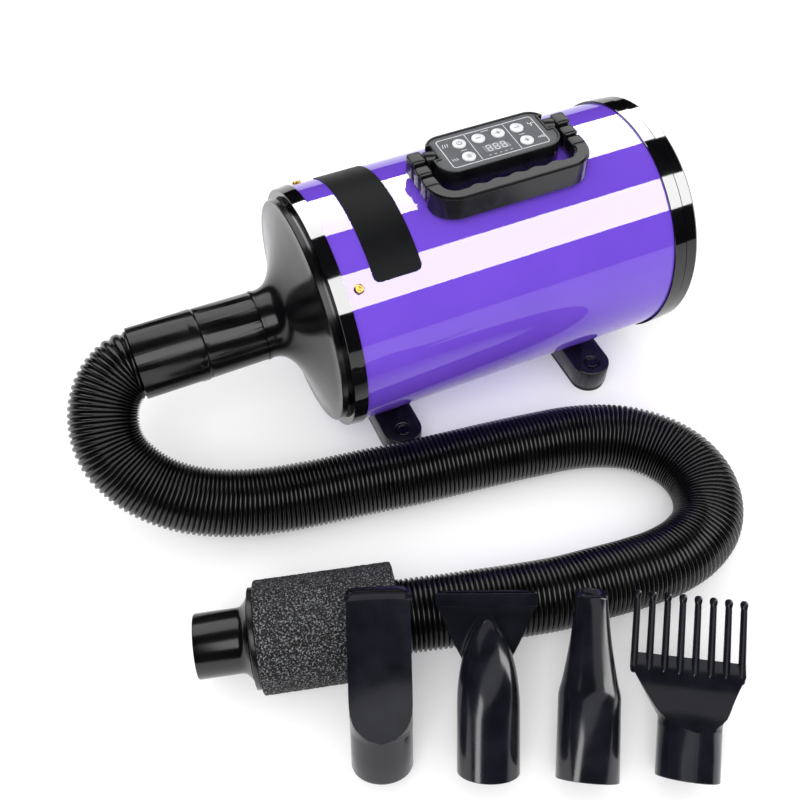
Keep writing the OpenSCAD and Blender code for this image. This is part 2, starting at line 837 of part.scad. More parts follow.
module cuff_sleeve() {
    color("black") on_axis(sleeve_x) difference() {
        union() {
            cylinder(h = sleeve_len - 2, r = sleeve_r);
            translate([0, 0, sleeve_len - 2]) cylinder(h = 1.8, r1 = sleeve_r, r2 = sleeve_r - 0.7);
        }
        translate([0, 0, 2]) cylinder(h = sleeve_len, r = hose_r + fit);
        translate([0, 0, -1]) cylinder(h = 10, r = hose_r - hose_wall);
        for (i = [0:5]) rotate([0, 0, i * 60 + 10]) translate([sleeve_r - 0.6, -6, -1])
            cube([5, 12, sleeve_len - 6]);
    }
    color("black") on_axis(seam_x - 8.4) tube(8.2, hose_r - 0.1, joint_r + fit);
}

function unit(v) = v / norm(v);
function route_dir(i) = i == 0 ? unit(hose_route[1] - hose_route[0])
    : i == len(hose_route) - 1 ? unit(hose_route[i] - hose_route[i - 1])
    : unit(hose_route[i + 1] - hose_route[i - 1]);
function carry(i) = i == 0 ? [0, 1, 0] : let (p = carry(i - 1), d = route_dir(i)) unit(p - d * (p * d));
function route_ring(i, r) = let (d = route_dir(i), u = carry(i), v = cross(d, u))
    [for (k = [0:hose_sides - 1]) let (a = 360 * k / hose_sides)
        hose_route[i] + r * (cos(a) * u + sin(a) * v)];

// Quads between the rings of a swept wall, whose first point is number "from"
function wall_faces(from, rings, m) = [for (i = [0:rings - 2], k = [0:m - 1])
    let (a = from + i * m, b = a + m, next = (k + 1) % m) [a + k, a + next, b + next, b + k]];

module hose() {
    rings = len(hose_route);
    m = hose_sides;
    inner = rings * m;
    last = inner - m;
    points = concat(
        [for (i = [0:rings - 1]) each route_ring(i, hose_r)],
        [for (i = [0:rings - 1]) each route_ring(i, hose_r - hose_wall)]);
    faces = concat(
        wall_faces(0, rings, m),
        [for (f = wall_faces(inner, rings, m)) [f[3], f[2], f[1], f[0]]],
        [for (k = [0:m - 1]) [k, inner + k, inner + (k + 1) % m, (k + 1) % m]],
        [for (k = [0:m - 1]) [last + k, last + (k + 1) % m, inner + last + (k + 1) % m, inner + last + k]]);
    color("#151515") polyhedron(points, faces, convexity = 8);
}

module hose_ferrule() {
    color("black") on_hand() difference() {
        union() {
            cylinder(h = 3, r = hose_r);
            translate([0, 0, 2]) cylinder(h = 40, r = ferrule_r);
        }
        translate([0, 0, -1]) cylinder(h = 50, r = ferrule_r - 2.2);
    }
}

module grip_core() {
    color("black") on_hand() difference() {
        union() {
            translate([0, 0, grip_x - 0.6]) cylinder(h = grip_len + 0.6, r = core_r);
            translate([0, 0, grip_end]) cylinder(h = 4, r = grip_r - 4);
        }
        translate([0, 0, 0]) cylinder(h = 46, r = ferrule_r + swivel_gap);
        translate([0, 0, 40]) cylinder(h = grip_len, r = ferrule_r - 2.2);
    }
}

module foam_grip() {
    color("#2e2e30") on_hand(grip_x) tube(grip_len - 0.02, grip_r - 0.2, core_r + 0.02);
}

module outlet_tip() {
    color("black") on_hand(tip_x) difference() {
        union() {
            cylinder(h = tip_shoulder, r1 = core_r + 2, r2 = tip_r);
            translate([0, 0, tip_shoulder - 0.5]) cylinder(h = tip_len + 0.5, r = tip_r);
        }
        translate([0, 0, -1]) cylinder(h = 60, r = socket_r - 1.6);
        translate([0, 0, tip_shoulder + tip_len - tip_socket]) cylinder(h = 60, r = socket_r);
    }
}

// The flat, fan and comb nozzles have a straight rear side, so that they can lie against something
module flat_nozzle() {
    rear = nozzle_r - slot_t / 2;
    bore_r = nozzle_r - nozzle_wall;
    color("#17171a") leaning(flat_place) difference() {
        union() {
            cylinder(h = plug_len, r = nozzle_r);
            hull() {
                translate([0, 0, plug_len]) cylinder(h = 1, r = nozzle_r, $fn = 40);
                translate([0, rear, flat_len - 10]) rounded_slab(nozzle_d, slot_t, 3, 10, $fn = 24);
            }
        }
        translate([0, 0, -1]) cylinder(h = plug_len + 1, r = bore_r);
        hull() {
            translate([0, 0, plug_len - 1]) cylinder(h = 1, r = bore_r, $fn = 40);
            translate([0, rear, flat_len]) rounded_slab(2 * bore_r, slot_in, 2, 1, $fn = 24);
        }
    }
}

module fan_nozzle() {
    rear = nozzle_r - slot_t / 2;
    bore_r = nozzle_r - nozzle_wall;
    neck = fan_len * 0.62;
    neck_w = 30;
    color("#17171a") leaning(fan_place) difference() {
        union() {
            cylinder(h = fan_plug, r = nozzle_r);
            hull() {
                translate([0, 0, fan_plug - 1]) cylinder(h = 1, r = nozzle_r, $fn = 40);
                translate([0, 2, fan_len * 0.84]) sphere(4, $fn = 20);
            }
            hull() {
                translate([0, rear, neck]) rounded_slab(neck_w, slot_t, 3, 1, $fn = 24);
                translate([0, rear, fan_len - 8]) rounded_slab(fan_w, slot_t, 3, 8, $fn = 24);
            }
            hull() {
                translate([0, 0, fan_plug - 1]) cylinder(h = 1, r = nozzle_r - 1, $fn = 40);
                translate([0, rear, neck]) rounded_slab(neck_w + 1, slot_t, 3, 6, $fn = 24);
            }
        }
        translate([0, 0, -1]) cylinder(h = fan_plug + 1, r = bore_r);
        hull() {
            translate([0, 0, fan_plug - 1]) cylinder(h = 1, r = bore_r, $fn = 40);
            translate([0, rear, neck]) rounded_slab(neck_w - 4, slot_in, 2, 1, $fn = 24);
        }
        hull() {
            translate([0, rear, neck]) rounded_slab(neck_w - 4, slot_in, 2, 1, $fn = 24);
            translate([0, rear, fan_len]) rounded_slab(fan_w - 2 * nozzle_wall, slot_in, 2, 1, $fn = 24);
        }
    }
}

// The outlet is cut at a slant, lower on its front side
module round_nozzle() {
    bore_r = nozzle_r - nozzle_wall;
    tip = round_tip_d / 2;
    collar = 6;
    lip = 10;
    taper = round_len - round_base - collar - lip;
    color("#17171a") leaning(round_place) difference() {
        union() {
            cylinder(h = round_base, r = nozzle_r);
            translate([0, 0, round_base]) cylinder(h = collar, r1 = nozzle_r, r2 = nozzle_r - 1.4);
            translate([0, 0, round_base + collar]) cylinder(h = taper, r1 = nozzle_r - 1.4, r2 = tip);
            translate([0, 0, round_len - lip]) cylinder(h = lip + tip, r = tip);
        }
        translate([0, 0, -1]) cylinder(h = round_base + 1, r = bore_r);
        translate([0, 0, round_base - 0.01])
            cylinder(h = round_len - round_base - lip + 0.1, r1 = bore_r, r2 = tip - nozzle_wall);
        translate([0, 0, round_len - lip - 1]) cylinder(h = lip + 2 * tip, r = tip - nozzle_wall);
        translate([0, 0, round_len]) rotate([round_cut, 0, 0])
            translate([-2 * tip, -2 * tip, 0]) cube([4 * tip, 4 * tip, 2 * tip]);
    }
}

module comb_nozzle() {
    bore_r = nozzle_r - nozzle_wall;
    body_w = (tines - 1) * tine_pitch + 2 * tine_r;
    body_t = 13;
    relief = 0.2;
    body_z = 62;
    tine_z = 66;
    rear = nozzle_r - body_t / 2;
    tine_y = nozzle_r - tine_r - 1;
    tine_h = comb_len - tine_z - tine_r;
    color("#17171a") leaning(comb_place) {
        difference() {
            union() {
                cylinder(h = plug_len + relief, r = nozzle_r);
                hull() {
                    translate([0, 0, plug_len + relief]) cylinder(h = 1, r = nozzle_r, $fn = 40);
                    translate([0, rear, body_z]) rounded_slab(body_w, body_t, 5, 8, $fn = 24);
                }
            }
            translate([0, 0, -1]) cylinder(h = plug_len + 1, r = bore_r);
            hull() {
                translate([0, 0, plug_len - 1]) cylinder(h = 1, r = bore_r, $fn = 40);
                translate([0, rear - 2.4, body_z])
                    rounded_slab(body_w - 2 * nozzle_wall, slot_in, 1.8, 10, $fn = 24);
            }
        }
        for (i = [0:tines - 1]) translate([(i - (tines - 1) / 2) * tine_pitch, tine_y, tine_z]) {
            cylinder(h = tine_h, r = tine_r);
            translate([0, 0, tine_h]) sphere(tine_r);
        }
    }
}

barrel();
front_ring();
outlet_cone();
rear_ring();
rear_cover();
intake_filter();
label_plate();
body_screws();
front_foot();
rear_foot();
foot_soles();
foot_plugs();
cord_gland();
sound_liner();
fan_case();
diffuser();
first_impeller();
second_impeller();
motor_shaft();
armature();
commutator();
stator();
field_coils();
front_bearing();
rear_bearing();
motor_bracket();
brush_holders();
carbon_brushes();
case_rings();
heater_frame();
heater_coil();
thermal_cutout();
pod_base();
pod_panel();
power_button();
mode_button();
speed_down_button();
speed_up_button();
heat_down_button();
heat_up_button();
display_window();
circuit_board();
heatsink();
handle_lugs();
hinge_pins();
handle_frame();
handle_cap();
arm_sleeves();
cuff_socket();
cuff_sleeve();
hose();
hose_ferrule();
grip_core();
foam_grip();
outlet_tip();
flat_nozzle();
fan_nozzle();
round_nozzle();
comb_nozzle();
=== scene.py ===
import json
import math
import bpy
import bmesh
from mathutils import Matrix, Vector, noise


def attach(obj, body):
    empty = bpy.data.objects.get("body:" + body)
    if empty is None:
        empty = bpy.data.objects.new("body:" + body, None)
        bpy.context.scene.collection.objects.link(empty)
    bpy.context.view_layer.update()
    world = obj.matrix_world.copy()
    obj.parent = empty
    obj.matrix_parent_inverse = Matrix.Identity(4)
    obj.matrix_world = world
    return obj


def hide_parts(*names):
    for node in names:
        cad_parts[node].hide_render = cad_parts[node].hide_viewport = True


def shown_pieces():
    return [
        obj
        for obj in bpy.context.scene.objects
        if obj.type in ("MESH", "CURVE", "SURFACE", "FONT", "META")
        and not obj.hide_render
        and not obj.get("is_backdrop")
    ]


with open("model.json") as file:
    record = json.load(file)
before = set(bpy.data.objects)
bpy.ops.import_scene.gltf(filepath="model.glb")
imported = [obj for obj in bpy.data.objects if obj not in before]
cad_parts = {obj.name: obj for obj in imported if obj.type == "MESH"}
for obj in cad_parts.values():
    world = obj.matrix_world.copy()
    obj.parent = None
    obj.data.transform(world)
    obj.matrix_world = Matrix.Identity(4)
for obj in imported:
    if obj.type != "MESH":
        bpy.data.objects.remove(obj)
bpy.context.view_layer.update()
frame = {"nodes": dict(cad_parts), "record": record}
scene = bpy.context.scene
scene.view_settings.view_transform = "Standard"
mm = 0.001  # every size below is in millimetres, and this turns it to metres

# camera
view = {"place": (-182.9, -476.1, 614.2), "tilt": 38.6, "turn": -24.0, "lens": 43.82, "sensor": 36}
camera = bpy.data.objects.new("camera", bpy.data.cameras.new("camera"))
camera.data.lens = view["lens"]
camera.data.sensor_width = view["sensor"]
camera.data.clip_start = 0.01
camera.location = Vector(view["place"]) * mm
camera.rotation_euler = (math.radians(view["tilt"]), 0, math.radians(view["turn"]))
scene.collection.objects.link(camera)
scene.camera = camera
print("camera stands")


# helpers
def linear(hexColour):
    parts = [int(hexColour[i:i + 2], 16) / 255 for i in (1, 3, 5)]
    return tuple(c / 12.92 if c <= 0.04045 else ((c + 0.055) / 1.055) ** 2.4 for c in parts) + (1,)


def addNode(tree, kind, values=None, **settings):
    node = tree.nodes.new(kind)
    for name, value in settings.items():
        setattr(node, name, value)
    for socket, value in (values or {}).items():
        if isinstance(value, tuple) and isinstance(value[0], bpy.types.Node):
            tree.links.new(value[0].outputs[value[1]], node.inputs[socket])
        else:
            node.inputs[socket].default_value = value
    return node


roundedFrom = 32  # only edges that turn by more degrees than this are rounded


def finishPiece(bm, name, look):
    # look holds finish, body and slot, and may hold stands, wall, round, roundSteps, sharp and outward
    if look.get("outward", True):
        bmesh.ops.remove_doubles(bm, verts=bm.verts, dist=1e-6)
        bmesh.ops.recalc_face_normals(bm, faces=bm.faces)
    for face in bm.faces:
        face.smooth = True
    mesh = bpy.data.meshes.new(name)
    bm.to_mesh(mesh)
    bm.free()
    piece = bpy.data.objects.new(name, mesh)
    scene.collection.objects.link(piece)
    mesh.materials.append(finishes[look["finish"]])
    if "wall" in look:
        wall = piece.modifiers.new("wall", "SOLIDIFY")
        wall.thickness = look["wall"] * mm
        wall.offset = -1
        wall.use_even_offset = True
    if "round" in look:
        rounding = piece.modifiers.new("rounding", "BEVEL")
        rounding.width = look["round"] * mm
        rounding.segments = look.get("roundSteps", 2)
        rounding.limit_method = "ANGLE"
        rounding.angle_limit = math.radians(roundedFrom)
        rounding.harden_normals = True
    else:
        mesh.set_sharp_from_angle(angle=math.radians(look.get("sharp", 40)))
    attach(piece, look["body"])
    if "stands" in look:
        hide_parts(*look["stands"])
    return piece


def softened(node, look):
    # a copy of a CAD node, whose edges then get a small round
    bm = bmesh.new()
    bm.from_mesh(frame["nodes"][node].data)
    bmesh.ops.remove_doubles(bm, verts=bm.verts, dist=1e-5)
    bmesh.ops.dissolve_limit(bm, angle_limit=math.radians(1), verts=bm.verts, edges=bm.edges)
    return finishPiece(bm, look.get("name", node + "Soft"), {"outward": False, "stands": [node], **look})


def lathe(profile, steps, place=Matrix.Identity(4), upright=False, closed=True):
    # profile is (along, radius) in mm about X, or about Z where upright
    bm = bmesh.new()
    verts = [bm.verts.new((r, 0, a) if upright else (a, 0, r)) for a, r in profile]
    pairs = list(zip(verts, verts[1:])) + ([(verts[-1], verts[0])] if closed else [])
    edges = [bm.edges.new(pair) for pair in pairs]
    axis = (0, 0, 1) if upright else (1, 0, 0)
    bmesh.ops.spin(bm, geom=verts + edges, cent=(0, 0, 0), axis=axis, dvec=(0, 0, 0),
                   angle=2 * math.pi, steps=steps, use_merge=True)
    bmesh.ops.remove_doubles(bm, verts=bm.verts, dist=1e-4)
    bmesh.ops.transform(bm, matrix=place @ Matrix.Scale(mm, 4), verts=bm.verts)
    return bm


def loft(sections, place):
    # a wall through sections with the same number of points, in mm
    bm = bmesh.new()
    sides = len(sections[0])
    ring = bmesh.ops.create_circle(bm, segments=sides, radius=1)["verts"]
    for vert, point in zip(ring, sections[0]):
        vert.co = point
    for section in sections[1:]:
        edges = [bm.edges.get((ring[i], ring[(i + 1) % sides])) for i in range(sides)]
        made = bmesh.ops.extrude_edge_only(bm, edges=edges)["geom"]
        made = {item for item in made if isinstance(item, bmesh.types.BMVert)}
        ring = [next(e.other_vert(v) for e in v.link_edges if e.other_vert(v) in made) for v in ring]
        for vert, point in zip(ring, section):
            vert.co = point
    bmesh.ops.transform(bm, matrix=place @ Matrix.Scale(mm, 4), verts=bm.verts)
    return bm


def roundedSheet(bm, length, width, corner, steps=6):
    # a flat face with round corners, in mm, about the origin
    made = bmesh.ops.create_grid(bm, x_segments=1, y_segments=1, size=0.5)["verts"]
    bmesh.ops.scale(bm, vec=(length, width, 1), verts=made)
    bmesh.ops.bevel(bm, geom=made, offset=corner, affect="VERTICES", segments=steps, profile=0.5,
                    material=-1, offset_type="OFFSET")


# finishes
# low and high are the two ends of the colour and rough those of the roughness; patch, grain and
# depth are in mm
looks = {
    # baked gloss enamel on rolled steel: deep violet under a clear, slightly wavy top coat
    "bakedEnamel": {"low": "#6f4acf", "high": "#744ed5", "patch": 70, "rough": (0.42, 0.50),
                    "grain": 2.4, "depth": 0.004,
                    "shader": {"IOR": 1.5, "Specular IOR Level": 0.0, "Coat Weight": 1.0,
                               "Coat Roughness": 0.0, "Coat IOR": 1.5}},
    # ABS from a polished mould: near black, mirror-like with a faint haze
    "polishedAbs": {"low": "#09090b", "high": "#0d0d10", "patch": 25, "rough": (0.04, 0.08),
                    "grain": 1.6, "depth": 0.003, "shader": {"IOR": 1.54}},
    # ABS from a finely brushed mould: black with softened highlights
    "tubeAbs": {"low": "#08080a", "high": "#0c0c0e", "patch": 22, "rough": (0.15, 0.24),
                "grain": 1.2, "depth": 0.004, "shader": {"IOR": 1.5}},
    # ABS from a spark-eroded mould: soft sheen over a fine even grain
    "sparkedAbs": {"low": "#0c0d0e", "high": "#121315", "patch": 12, "rough": (0.24, 0.34),
                   "grain": 0.5, "depth": 0.02, "shader": {"IOR": 1.54}},
    # glass-filled ABS grip: black with a low gloss that catches the light along its edges
    "handleAbs": {"low": "#0a0a0b", "high": "#101112", "patch": 15, "rough": (0.20, 0.30),
                  "grain": 0.8, "depth": 0.01, "shader": {"IOR": 1.52}},
    # screen-printed polyester film: flat dark grey with a dull shine
    "printedFilm": {"low": "#505155", "high": "#5a5b5f", "patch": 9, "rough": (0.46, 0.56),
                    "grain": 0.4, "depth": 0.01, "shader": {"IOR": 1.57, "Specular IOR Level": 0.3}},
    # black polyester label: dense black with a dull, even skin
    "labelFilm": {"low": "#08090b", "high": "#0c0d10", "patch": 20, "rough": (0.42, 0.50),
                  "grain": 0.5, "depth": 0.006, "shader": {"IOR": 1.5, "Specular IOR Level": 0.12}},
    # white moulded keys: warm white, worn a little smoother in places
    "whiteKeys": {"low": "#d4d6da", "high": "#e9eaec", "patch": 4, "rough": (0.32, 0.45),
                  "grain": 0.5, "depth": 0.01, "shader": {"IOR": 1.5}},
    # smoked acrylic lens: grey and shiny, with slight swirls
    "smokedAcrylic": {"low": "#5a5c62", "high": "#74767c", "patch": 6, "rough": (0.08, 0.14),
                      "grain": 2.0, "depth": 0.003, "shader": {"IOR": 1.49}},
    # bright-plated brass screw: yellow metal with turning marks
    "platedBrass": {"low": "#b08a3e", "high": "#d9b76a", "patch": 1.5, "rough": (0.16, 0.30),
                    "grain": 0.4, "depth": 0.02, "shader": {"Metallic": 1.0}},
    # ground steel: grey metal with fine grinding lines
    "groundSteel": {"low": "#8d8f93", "high": "#b3b5b9", "patch": 5, "rough": (0.22, 0.36),
                    "grain": 0.5, "depth": 0.01, "shader": {"Metallic": 1.0}},
    # sand-cast aluminium: pale metal with a dull pebbled skin
    "castAluminium": {"low": "#a9abae", "high": "#c6c8cb", "patch": 8, "rough": (0.38, 0.52),
                      "grain": 0.9, "depth": 0.06, "shader": {"Metallic": 1.0}},
    # moulded nitrile rubber: matt black, slightly dusty
    "nitrileRubber": {"low": "#141415", "high": "#1e1e1f", "patch": 7, "rough": (0.62, 0.80),
                      "grain": 0.6, "depth": 0.04, "shader": {"IOR": 1.52}},
    # polyurethane sound foam: charcoal and open-celled
    "soundFoam": {"low": "#202124", "high": "#34353a", "patch": 1.8, "rough": (0.85, 0.95),
                  "grain": 1.4, "depth": 0.5, "bump": 0.8, "shader": {"IOR": 1.4}},
    # enamelled copper winding: red-brown metal under varnish
    "copperWinding": {"low": "#8f4f28", "high": "#c27a45", "patch": 1.2, "rough": (0.25, 0.38),
                      "grain": 0.7, "depth": 0.12, "bump": 0.6,
                      "shader": {"Metallic": 1.0, "Coat Weight": 0.5}},
    # pressed carbon: dull grey-black with sparkling grain
    "pressedCarbon": {"low": "#1d1d1e", "high": "#39393b", "patch": 0.7, "rough": (0.45, 0.65),
                      "grain": 0.5, "depth": 0.03, "shader": {"IOR": 1.6}},
    # pressed mica sheet: tan flakes with a pearly shine
    "micaSheet": {"low": "#8f7a52", "high": "#c4ae82", "patch": 2.5, "rough": (0.25, 0.45),
                  "grain": 1.5, "depth": 0.03, "shader": {"IOR": 1.58}},
    # glazed ceramic: off-white and glassy
    "glazedCeramic": {"low": "#dcd9d0", "high": "#ebe8e0", "patch": 5, "rough": (0.06, 0.12),
                      "grain": 2.0, "depth": 0.01, "shader": {"IOR": 1.55}},
    # solder mask on a glass-fibre board: dark green lacquer over a faint weave
    "solderMask": {"low": "#0d3d1c", "high": "#155428", "patch": 3, "rough": (0.25, 0.38),
                   "grain": 0.8, "depth": 0.02, "shader": {"IOR": 1.5}},
    # extruded EVA hose: black, waxy and glossy on each ridge
    "evaHose": {"low": "#070708", "high": "#0c0c0d", "patch": 14, "rough": (0.17, 0.27),
                "grain": 0.9, "depth": 0.015, "shader": {"IOR": 1.5}},
    # polypropylene from a polished mould: blue-black with a soft gloss
    "glossPolypropylene": {"low": "#101118", "high": "#171821", "patch": 18, "rough": (0.14, 0.22),
                           "grain": 1.3, "depth": 0.006, "shader": {"IOR": 1.5}},
    # screen ink: pale grey-white and slightly raised
    "paleInk": {"low": "#c9cbd0", "high": "#e2e3e6", "patch": 1.5, "rough": (0.40, 0.55),
                "grain": 0.3, "depth": 0.005, "shader": {"IOR": 1.5}},
    # dark pad print on the keys
    "greyInk": {"low": "#55575c", "high": "#6a6c71", "patch": 1.0, "rough": (0.40, 0.55),
                "grain": 0.3, "depth": 0.005, "shader": {"IOR": 1.5}},
}


def startFinish(name):
    finish = bpy.data.materials.new(name)
    finish.use_nodes = True
    return finish, finish.node_tree, finish.node_tree.nodes["Principled BSDF"]


def joinShader(tree, shader, tone, haze, relief):
    tree.links.new(tone.outputs["Color"], shader.inputs["Base Color"])
    tree.links.new(haze.outputs["Result"], shader.inputs["Roughness"])
    tree.links.new(relief.outputs["Normal"], shader.inputs["Normal"])


def makeFinish(name, look):
    finish, tree, shader = startFinish(name)
    for socket, value in look["shader"].items():
        shader.inputs[socket].default_value = value
    coords = addNode(tree, "ShaderNodeTexCoord")
    patch = addNode(tree, "ShaderNodeTexNoise",
                    {"Vector": (coords, "Object"), "Scale": 1000 / look["patch"], "Detail": 4.0})
    tone = addNode(tree, "ShaderNodeValToRGB", {"Fac": (patch, "Fac")})
    for element, at, colour in zip(tone.color_ramp.elements, (0.35, 0.65), (look["low"], look["high"])):
        element.position = at
        element.color = linear(colour)
    haze = addNode(tree, "ShaderNodeMapRange", {
        "Value": (patch, "Fac"), "From Min": 0.3, "From Max": 0.7,
        "To Min": look["rough"][0], "To Max": look["rough"][1]})
    grain = addNode(tree, "ShaderNodeTexNoise",
                    {"Vector": (coords, "Object"), "Scale": 1000 / look["grain"], "Detail": 2.0})
    relief = addNode(tree, "ShaderNodeBump", {
        "Height": (grain, "Fac"), "Strength": look.get("bump", 0.5), "Distance": look["depth"] * mm})
    joinShader(tree, shader, tone, haze, relief)
    return finish


# nitrile foam with a cut skin: a charcoal body with painted shade in the pits and painted highlights on the
# granules' tips, drawn a little coarser than the real cells so that they show
# the darkest colour is painted shade for the pits, the lightest a painted highlight for the granules' tips,
# and the middle one the foam's own charcoal
cutFoam = {"cell": 1.5, "granuleSpan": 1.1, "paintedPitShade": "#030304", "body": "#1b1c1e", "tip": "#7b7c80", "depth": 0.6}


def makeFoamFinish():
    finish, tree, shader = startFinish("cutFoam")
    shader.inputs["IOR"].default_value = 1.45
    coords = addNode(tree, "ShaderNodeTexCoord")
    cells = addNode(tree, "ShaderNodeTexVoronoi",
                    {"Vector": (coords, "Object"), "Scale": 1000 / cutFoam["cell"]})
    granuleReliefAndLight = addNode(tree, "ShaderNodeTexNoise",
                     {"Vector": (coords, "Object"), "Scale": 1000 / cutFoam["granuleSpan"], "Detail": 3.0})
    blend = addNode(tree, "ShaderNodeMath", {0: (cells, "Distance"), 1: (granuleReliefAndLight, "Fac"), 2: 0.1},
                    operation="MULTIPLY_ADD")
    # painted shade and painted highlights: the colour follows the same noise that lifts the relief, darkest
    # in the pits and lightest on the tips
    tone = addNode(tree, "ShaderNodeValToRGB", {"Fac": (granuleReliefAndLight, "Fac")})
    ramp = tone.color_ramp
    for element, at, colour in zip(ramp.elements, (0.42, 0.66), (cutFoam["paintedPitShade"], cutFoam["tip"])):
        element.position = at
        element.color = linear(colour)
    middle = ramp.elements.new(0.53)
    middle.color = linear(cutFoam["body"])
    haze = addNode(tree, "ShaderNodeMapRange", {
        "Value": (granuleReliefAndLight, "Fac"), "From Min": 0.3, "From Max": 0.7, "To Min": 0.9, "To Max": 0.62})
    relief = addNode(tree, "ShaderNodeBump", {
        "Height": (blend, "Value"), "Strength": 0.9, "Distance": cutFoam["depth"] * mm})
    joinShader(tree, shader, tone, haze, relief)
    return finish


finishes = {name: makeFinish(name, look) for name, look in looks.items()}
finishes["cutFoam"] = makeFoamFinish()
slotFinish = {
    "painted_steel": "bakedEnamel", "gloss_black": "polishedAbs", "satin_black": "sparkedAbs",
    "panel_grey": "printedFilm", "button_white": "whiteKeys", "display_grey": "smokedAcrylic",
    "brass": "platedBrass", "steel": "groundSteel", "aluminium": "castAluminium",
    "rubber": "nitrileRubber", "grip_foam": "cutFoam", "liner_foam": "soundFoam",
    "copper": "copperWinding", "carbon": "pressedCarbon", "mica": "micaSheet",
    "ceramic": "glazedCeramic", "board_green": "solderMask", "hose_black": "evaHose",
    "nozzle_black": "glossPolypropylene"}
recordSlot = {part["node"]: part["material_slot"] for part in frame["record"]["subparts"]}
for name, slot in recordSlot.items():
    mesh = frame["nodes"][name].data
    mesh.materials.clear()
    mesh.materials.append(finishes[slotFinish[slot]])
print("finishes mixed")

# hose
hose = {
    "radius": 24, "pitch": 3.3, "wall": 3.4, "sides": 36,
    # one ridge: share of the pitch and depth below the crest
    "ridge": [(0.0, 1.9), (0.14, 1.2), (0.30, 0.2), (0.5, 0.0), (0.70, 0.2), (0.86, 1.2)],
    "route": [
        (-171, 0, 103), (-176, 0, 103), (-185, -3, 100.7), (-193.5, -8.5, 96.3),
        (-200, -16, 90.4), (-204, -25, 83.3), (-205.5, -34.5, 75.8), (-203.5, -45, 67.5),
        (-198, -54.5, 60), (-188, -65.5, 51.5), (-173, -76, 43.5), (-154, -84.5, 36.5),
        (-132, -91, 31), (-108, -95.5, 27), (-82, -99.5, 24.8), (-50, -104.5, 24.3),
        (-15, -111, 24.3), (20, -116, 24.3), (55, -121, 24.3), (85, -126, 24.3),
        (110, -131, 24.3), (130, -138, 24.3), (148, -147.5, 24.3), (161, -159, 24.3),
        (171, -173, 24.3), (176.5, -189, 24.3), (176.5, -206, 24.3), (170.5, -222.5, 24.3),
        (159, -236, 24.3), (142, -245, 25), (115, -250, 26.6), (90, -249.5, 28.8),
        (63, -247, 31.2), (36, -244, 33.4), (9, -238.5, 35), (-15, -232.5, 35.8),
        (-36, -227, 36), (-60.2, -220.05, 36), (-66, -218.5, 36)],
}


def smoothRoute(points, step):
    # a smooth curve through the points, as even steps, with two directions across it
    points = [Vector(p) for p in points]
    gaps = [(b - a).length for a, b in zip(points, points[1:])]
    slopes = [(points[1] - points[0]) / gaps[0]]
    for i in range(1, len(points) - 1):
        before = (points[i] - points[i - 1]) / gaps[i - 1]
        after = (points[i + 1] - points[i]) / gaps[i]
        slopes.append((before * gaps[i] + after * gaps[i - 1]) / (gaps[i] + gaps[i - 1]))
    slopes.append((points[-1] - points[-2]) / gaps[-1])
    fine = []
    for i, gap in enumerate(gaps):
        for k in range(20):
            t = k / 20
            fine.append(points[i] * (2 * t ** 3 - 3 * t ** 2 + 1)
                        + slopes[i] * gap * (t ** 3 - 2 * t ** 2 + t)
                        + points[i + 1] * (3 * t ** 2 - 2 * t ** 3)
                        + slopes[i + 1] * gap * (t ** 3 - t ** 2))
    fine.append(points[-1])
    run = [0.0]
    for a, b in zip(fine, fine[1:]):
        run.append(run[-1] + (b - a).length)
    count = round(run[-1] / step)
    even, at = [], 0
    for k in range(count + 1):
        want = run[-1] * k / count
        while at < len(run) - 2 and run[at + 1] < want:
            at += 1
        even.append(fine[at].lerp(fine[at + 1], (want - run[at]) / (run[at + 1] - run[at])))
    across = Vector((0, 1, 0))
    frames = []
    for k, point in enumerate(even):
        ahead = (even[min(k + 1, count)] - even[max(k - 1, 0)]).normalized()
        across = (across - ahead * across.dot(ahead)).normalized()
        frames.append((point, across.copy(), ahead.cross(across)))
    return frames, run[-1]


def makeHose():
    frames, length = smoothRoute(hose["route"], 1.0)
    pitches = round(length / hose["pitch"])
    pitch = length / pitches
    outer = [(pitch * (i + part), hose["radius"] - depth)
             for i in range(pitches) for part, depth in hose["ridge"]]
    outer.append((length, hose["radius"] - hose["ridge"][0][1]))
    inner = [(length * (1 - i / pitches), hose["radius"] - hose["wall"]) for i in range(pitches + 1)]
    bm = lathe(outer + inner, hose["sides"])
    last = len(frames) - 1
    for vert in bm.verts:  # the straight tube is bent along the route
        s = min(max(vert.co.x / mm / length * last, 0), last)
        k = min(int(s), last - 1)
        near, far = frames[k], frames[k + 1]
        point = near[0].lerp(far[0], s - k)
        side = near[1].lerp(far[1], s - k)
        up = near[2].lerp(far[2], s - k)
        vert.co = point * mm + side * vert.co.y + up * vert.co.z
    piece = finishPiece(bm, "ribbedHose", {
        "finish": "evaHose", "body": "dryer", "slot": "hose_black", "stands": ["hose"], "sharp": 60})
    path = [tuple(point * mm) for point, side, up in frames[::4] + frames[-1:]]
    return piece, path, length * mm


ribbedHose, hosePath, hoseLength = makeHose()
print("hose laid,", round(hoseLength, 3), "m")

# handpiece
hand = {
    "end": (-66, -218.5, 36), "turn": 165,
    "foamRadius": 35.9, "foamFrom": 4, "foamTo": 93, "foamBore": 25.05,
    "edge": 1.2, "rows": 74, "sides": 188, "tipSides": 96,
    # cut granules: how far they stand out, and the sizes of the two that are mixed
    "relief": 0.45, "granules": (1.5, 0.8),
}
handPlace = (Matrix.Translation(Vector(hand["end"]) * mm)
             @ Matrix.Rotation(math.radians(hand["turn"]), 4, "Z"))


